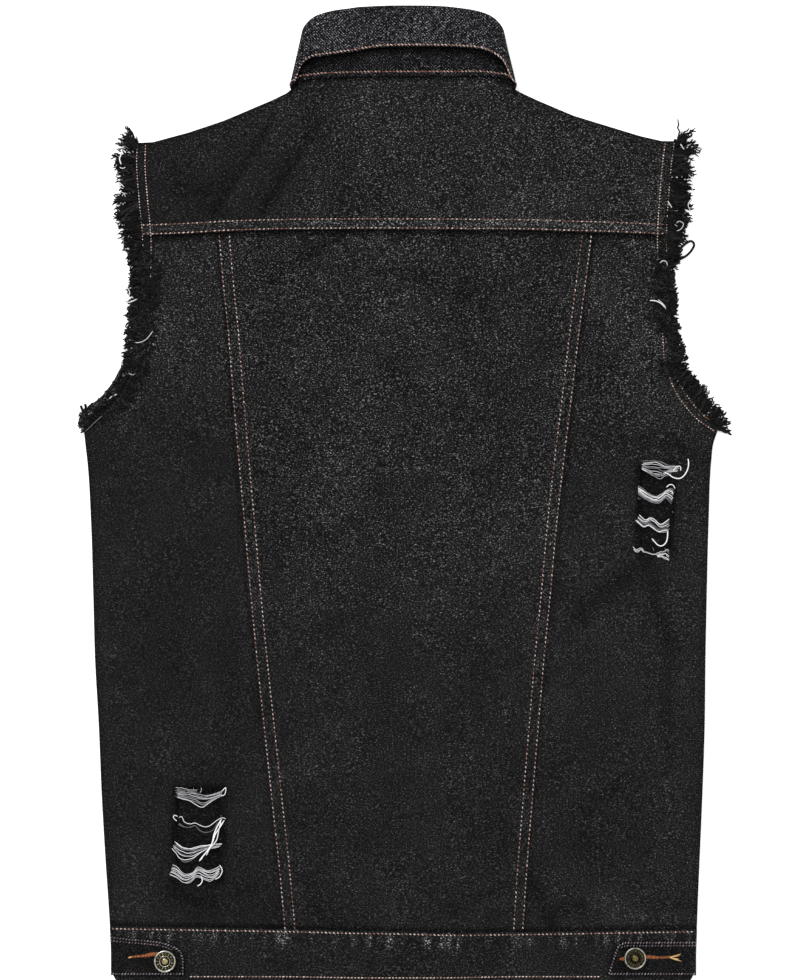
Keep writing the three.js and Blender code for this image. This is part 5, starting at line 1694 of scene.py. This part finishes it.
def turned(name, outline_table, rise, centre, material, segments=64, flip=False, wobble=None):
    """A closed turned shape from a table of outline points."""
    profile = np.array(outline_table, float) * (BUTTON_RADIUS, rise)
    inner = profile[1:-1]
    angle = np.arange(segments) * 2 * math.pi / segments
    sign = -1 if flip else 1
    rings = []
    for radius, up in inner:
        z = np.full(segments, up) if wobble is None else up + wobble(radius, angle)
        rings.append(np.column_stack([radius * np.cos(angle), radius * np.sin(angle), sign * z]))
    tips = np.array([[0, 0, sign * profile[0, 1]], [0, 0, sign * profile[-1, 1]]])
    points = np.concatenate(rings + [tips])
    points = points + np.array([centre[0], centre[1] - ORIGIN_HEIGHT, centre[2]])
    faces, count = [], len(inner)
    for j in range(count - 1):
        for k in range(segments):
            n = (k + 1) % segments
            this, following = j * segments, (j + 1) * segments
            faces.append((this + k, this + n, following + n, following + k))
    first, last = count * segments, count * segments + 1
    for k in range(segments):
        n = (k + 1) % segments
        faces.append((first, n, k))
        faces.append((last, (count - 1) * segments + k, (count - 1) * segments + n))
    if flip:
        faces = [face[::-1] for face in faces]
    return add_object(name, mesh_from(name, points, faces), material)


def ring_marks(name, centre, radius, count, turn, material, up):
    """A plain ring of short raised marks."""
    made = []
    for n in range(count):
        angle = turn + n * 2 * math.pi / count
        across = np.array([math.cos(angle), math.sin(angle)])
        wide = 0.75 + 0.2 * ((n * 7) % 3)
        span = np.linspace(-wide, wide, 4) if n % 3 else np.linspace(-0.55, 0.55, 4)
        along = across if n % 3 else np.array([-across[1], across[0]])
        flat = np.array(centre[:2]) + across * radius + np.outer(span, along)
        made.append((np.column_stack([flat, np.full(4, up)]), 0.3, 0.5))
    threads(name, made, material, sides=6)


# The right button is duller than the left one: its rim, inner ring and dome.
TAB_BUTTON_METALS = {"left": (RIM_METAL, RIM_METAL, BRASS), "right": (DULL_METAL, PIT_METAL, DULL_BRASS)}


def make_tab_button(side, turn):
    x, height = TAB_BUTTONS[side]
    base = 3 * (BAND_WALL + SEAM_GAP)
    centre = (x, height, base)
    rim_metal, inner_metal, brass = TAB_BUTTON_METALS[side]
    name = f"tab_button_{side}"
    rim = turned(f"{name}_rim", RIM, BUTTON_RISE, centre, rim_metal)
    turned(f"{name}_ring", PIT, BUTTON_RISE, centre, PIT_METAL)
    turned(f"{name}_inner", INNER_RING, BUTTON_RISE, centre, inner_metal, 48)
    turned(f"{name}_well", WELL, BUTTON_RISE, centre, PIT_METAL, 48)
    turned(f"{name}_dome", DOME, BUTTON_RISE, centre, brass, 40,
           wobble=lambda radius, angle: 0.05 * np.sin(3 * angle + radius))
    ring_marks(f"{name}_marks", (x, height), 0.66 * BUTTON_RADIUS, 15, turn, brass,
               base + 0.72 * BUTTON_RISE)
    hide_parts(f"tab_button_{side}")


make_tab_button("left", 0.2)
make_tab_button("right", 1.1)

for number, height in enumerate(FRONT_BUTTON_HEIGHTS, 1):
    head = turned(f"front_button_{number}_head", FRONT_PROFILE, FRONT_HEAD, (0, height, FRONT_HEAD),
                  RIM_METAL, 48, flip=True)
    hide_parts(f"front_button_{number}")


# Floor, light and camera


def make_stage():
    half, below = 3.0, -0.0002
    mesh = bpy.data.meshes.new("floor")
    corners = [(-half, -half, below), (half, -half, below), (half, half, below), (-half, half, below)]
    mesh.from_pydata(corners, [], [(0, 1, 2, 3)])
    floor = bpy.data.objects.new("floor", mesh)
    bpy.context.scene.collection.objects.link(floor)
    material, _, shader = new_material("pale_floor")
    shader.inputs["Base Color"].default_value = (0.9, 0.9, 0.9, 1)
    shader.inputs["Roughness"].default_value = 0.9
    shader.inputs["Emission Color"].default_value = (1, 1, 1, 1)
    shader.inputs["Emission Strength"].default_value = 0.45
    mesh.materials.append(material)


def area_light(name, place, size, watts):
    """A round lamp that points at the middle of the vest."""
    light = bpy.data.lights.new(name, "AREA")
    light.shape, light.size, light.energy = "DISK", size, watts
    lamp = bpy.data.objects.new(name, light)
    lamp.location = place
    lamp.rotation_euler = (-Vector(place)).to_track_quat("-Z", "Y").to_euler()
    bpy.context.scene.collection.objects.link(lamp)


make_stage()
area_light("key", (-1.1, 1.5, 1.9), 1.2, 62)
area_light("fill", (1.6, -0.6, 2.2), 2.2, 22)
world = bpy.data.worlds.new("studio")
world.use_nodes = True
world.node_tree.nodes["Background"].inputs["Color"].default_value = (1, 1, 1, 1)
world.node_tree.nodes["Background"].inputs["Strength"].default_value = 0.62
bpy.context.scene.world = world
bpy.context.scene.view_settings.view_transform = "Standard"

# The picture's height in pixels, its scale on the vest and the place at its centre.
PICTURE_HEIGHT = 980
MM_PER_PIXEL = 0.76
FRAME_CENTRE = (-0.8, 373.9)
LENS, SENSOR = 100.0, 36.0
# Height above the floor, in metres, at which that scale holds.
SCALE_LEVEL = 0.008
camera_data = bpy.data.cameras.new("camera")
camera_data.lens, camera_data.sensor_width = LENS, SENSOR
camera = bpy.data.objects.new("camera", camera_data)
distance = PICTURE_HEIGHT * MM_PER_PIXEL * MM * LENS / SENSOR
camera.location = (FRAME_CENTRE[0] * MM, (FRAME_CENTRE[1] - ORIGIN_HEIGHT) * MM, distance + SCALE_LEVEL)
bpy.context.scene.collection.objects.link(camera)
bpy.context.scene.camera = camera
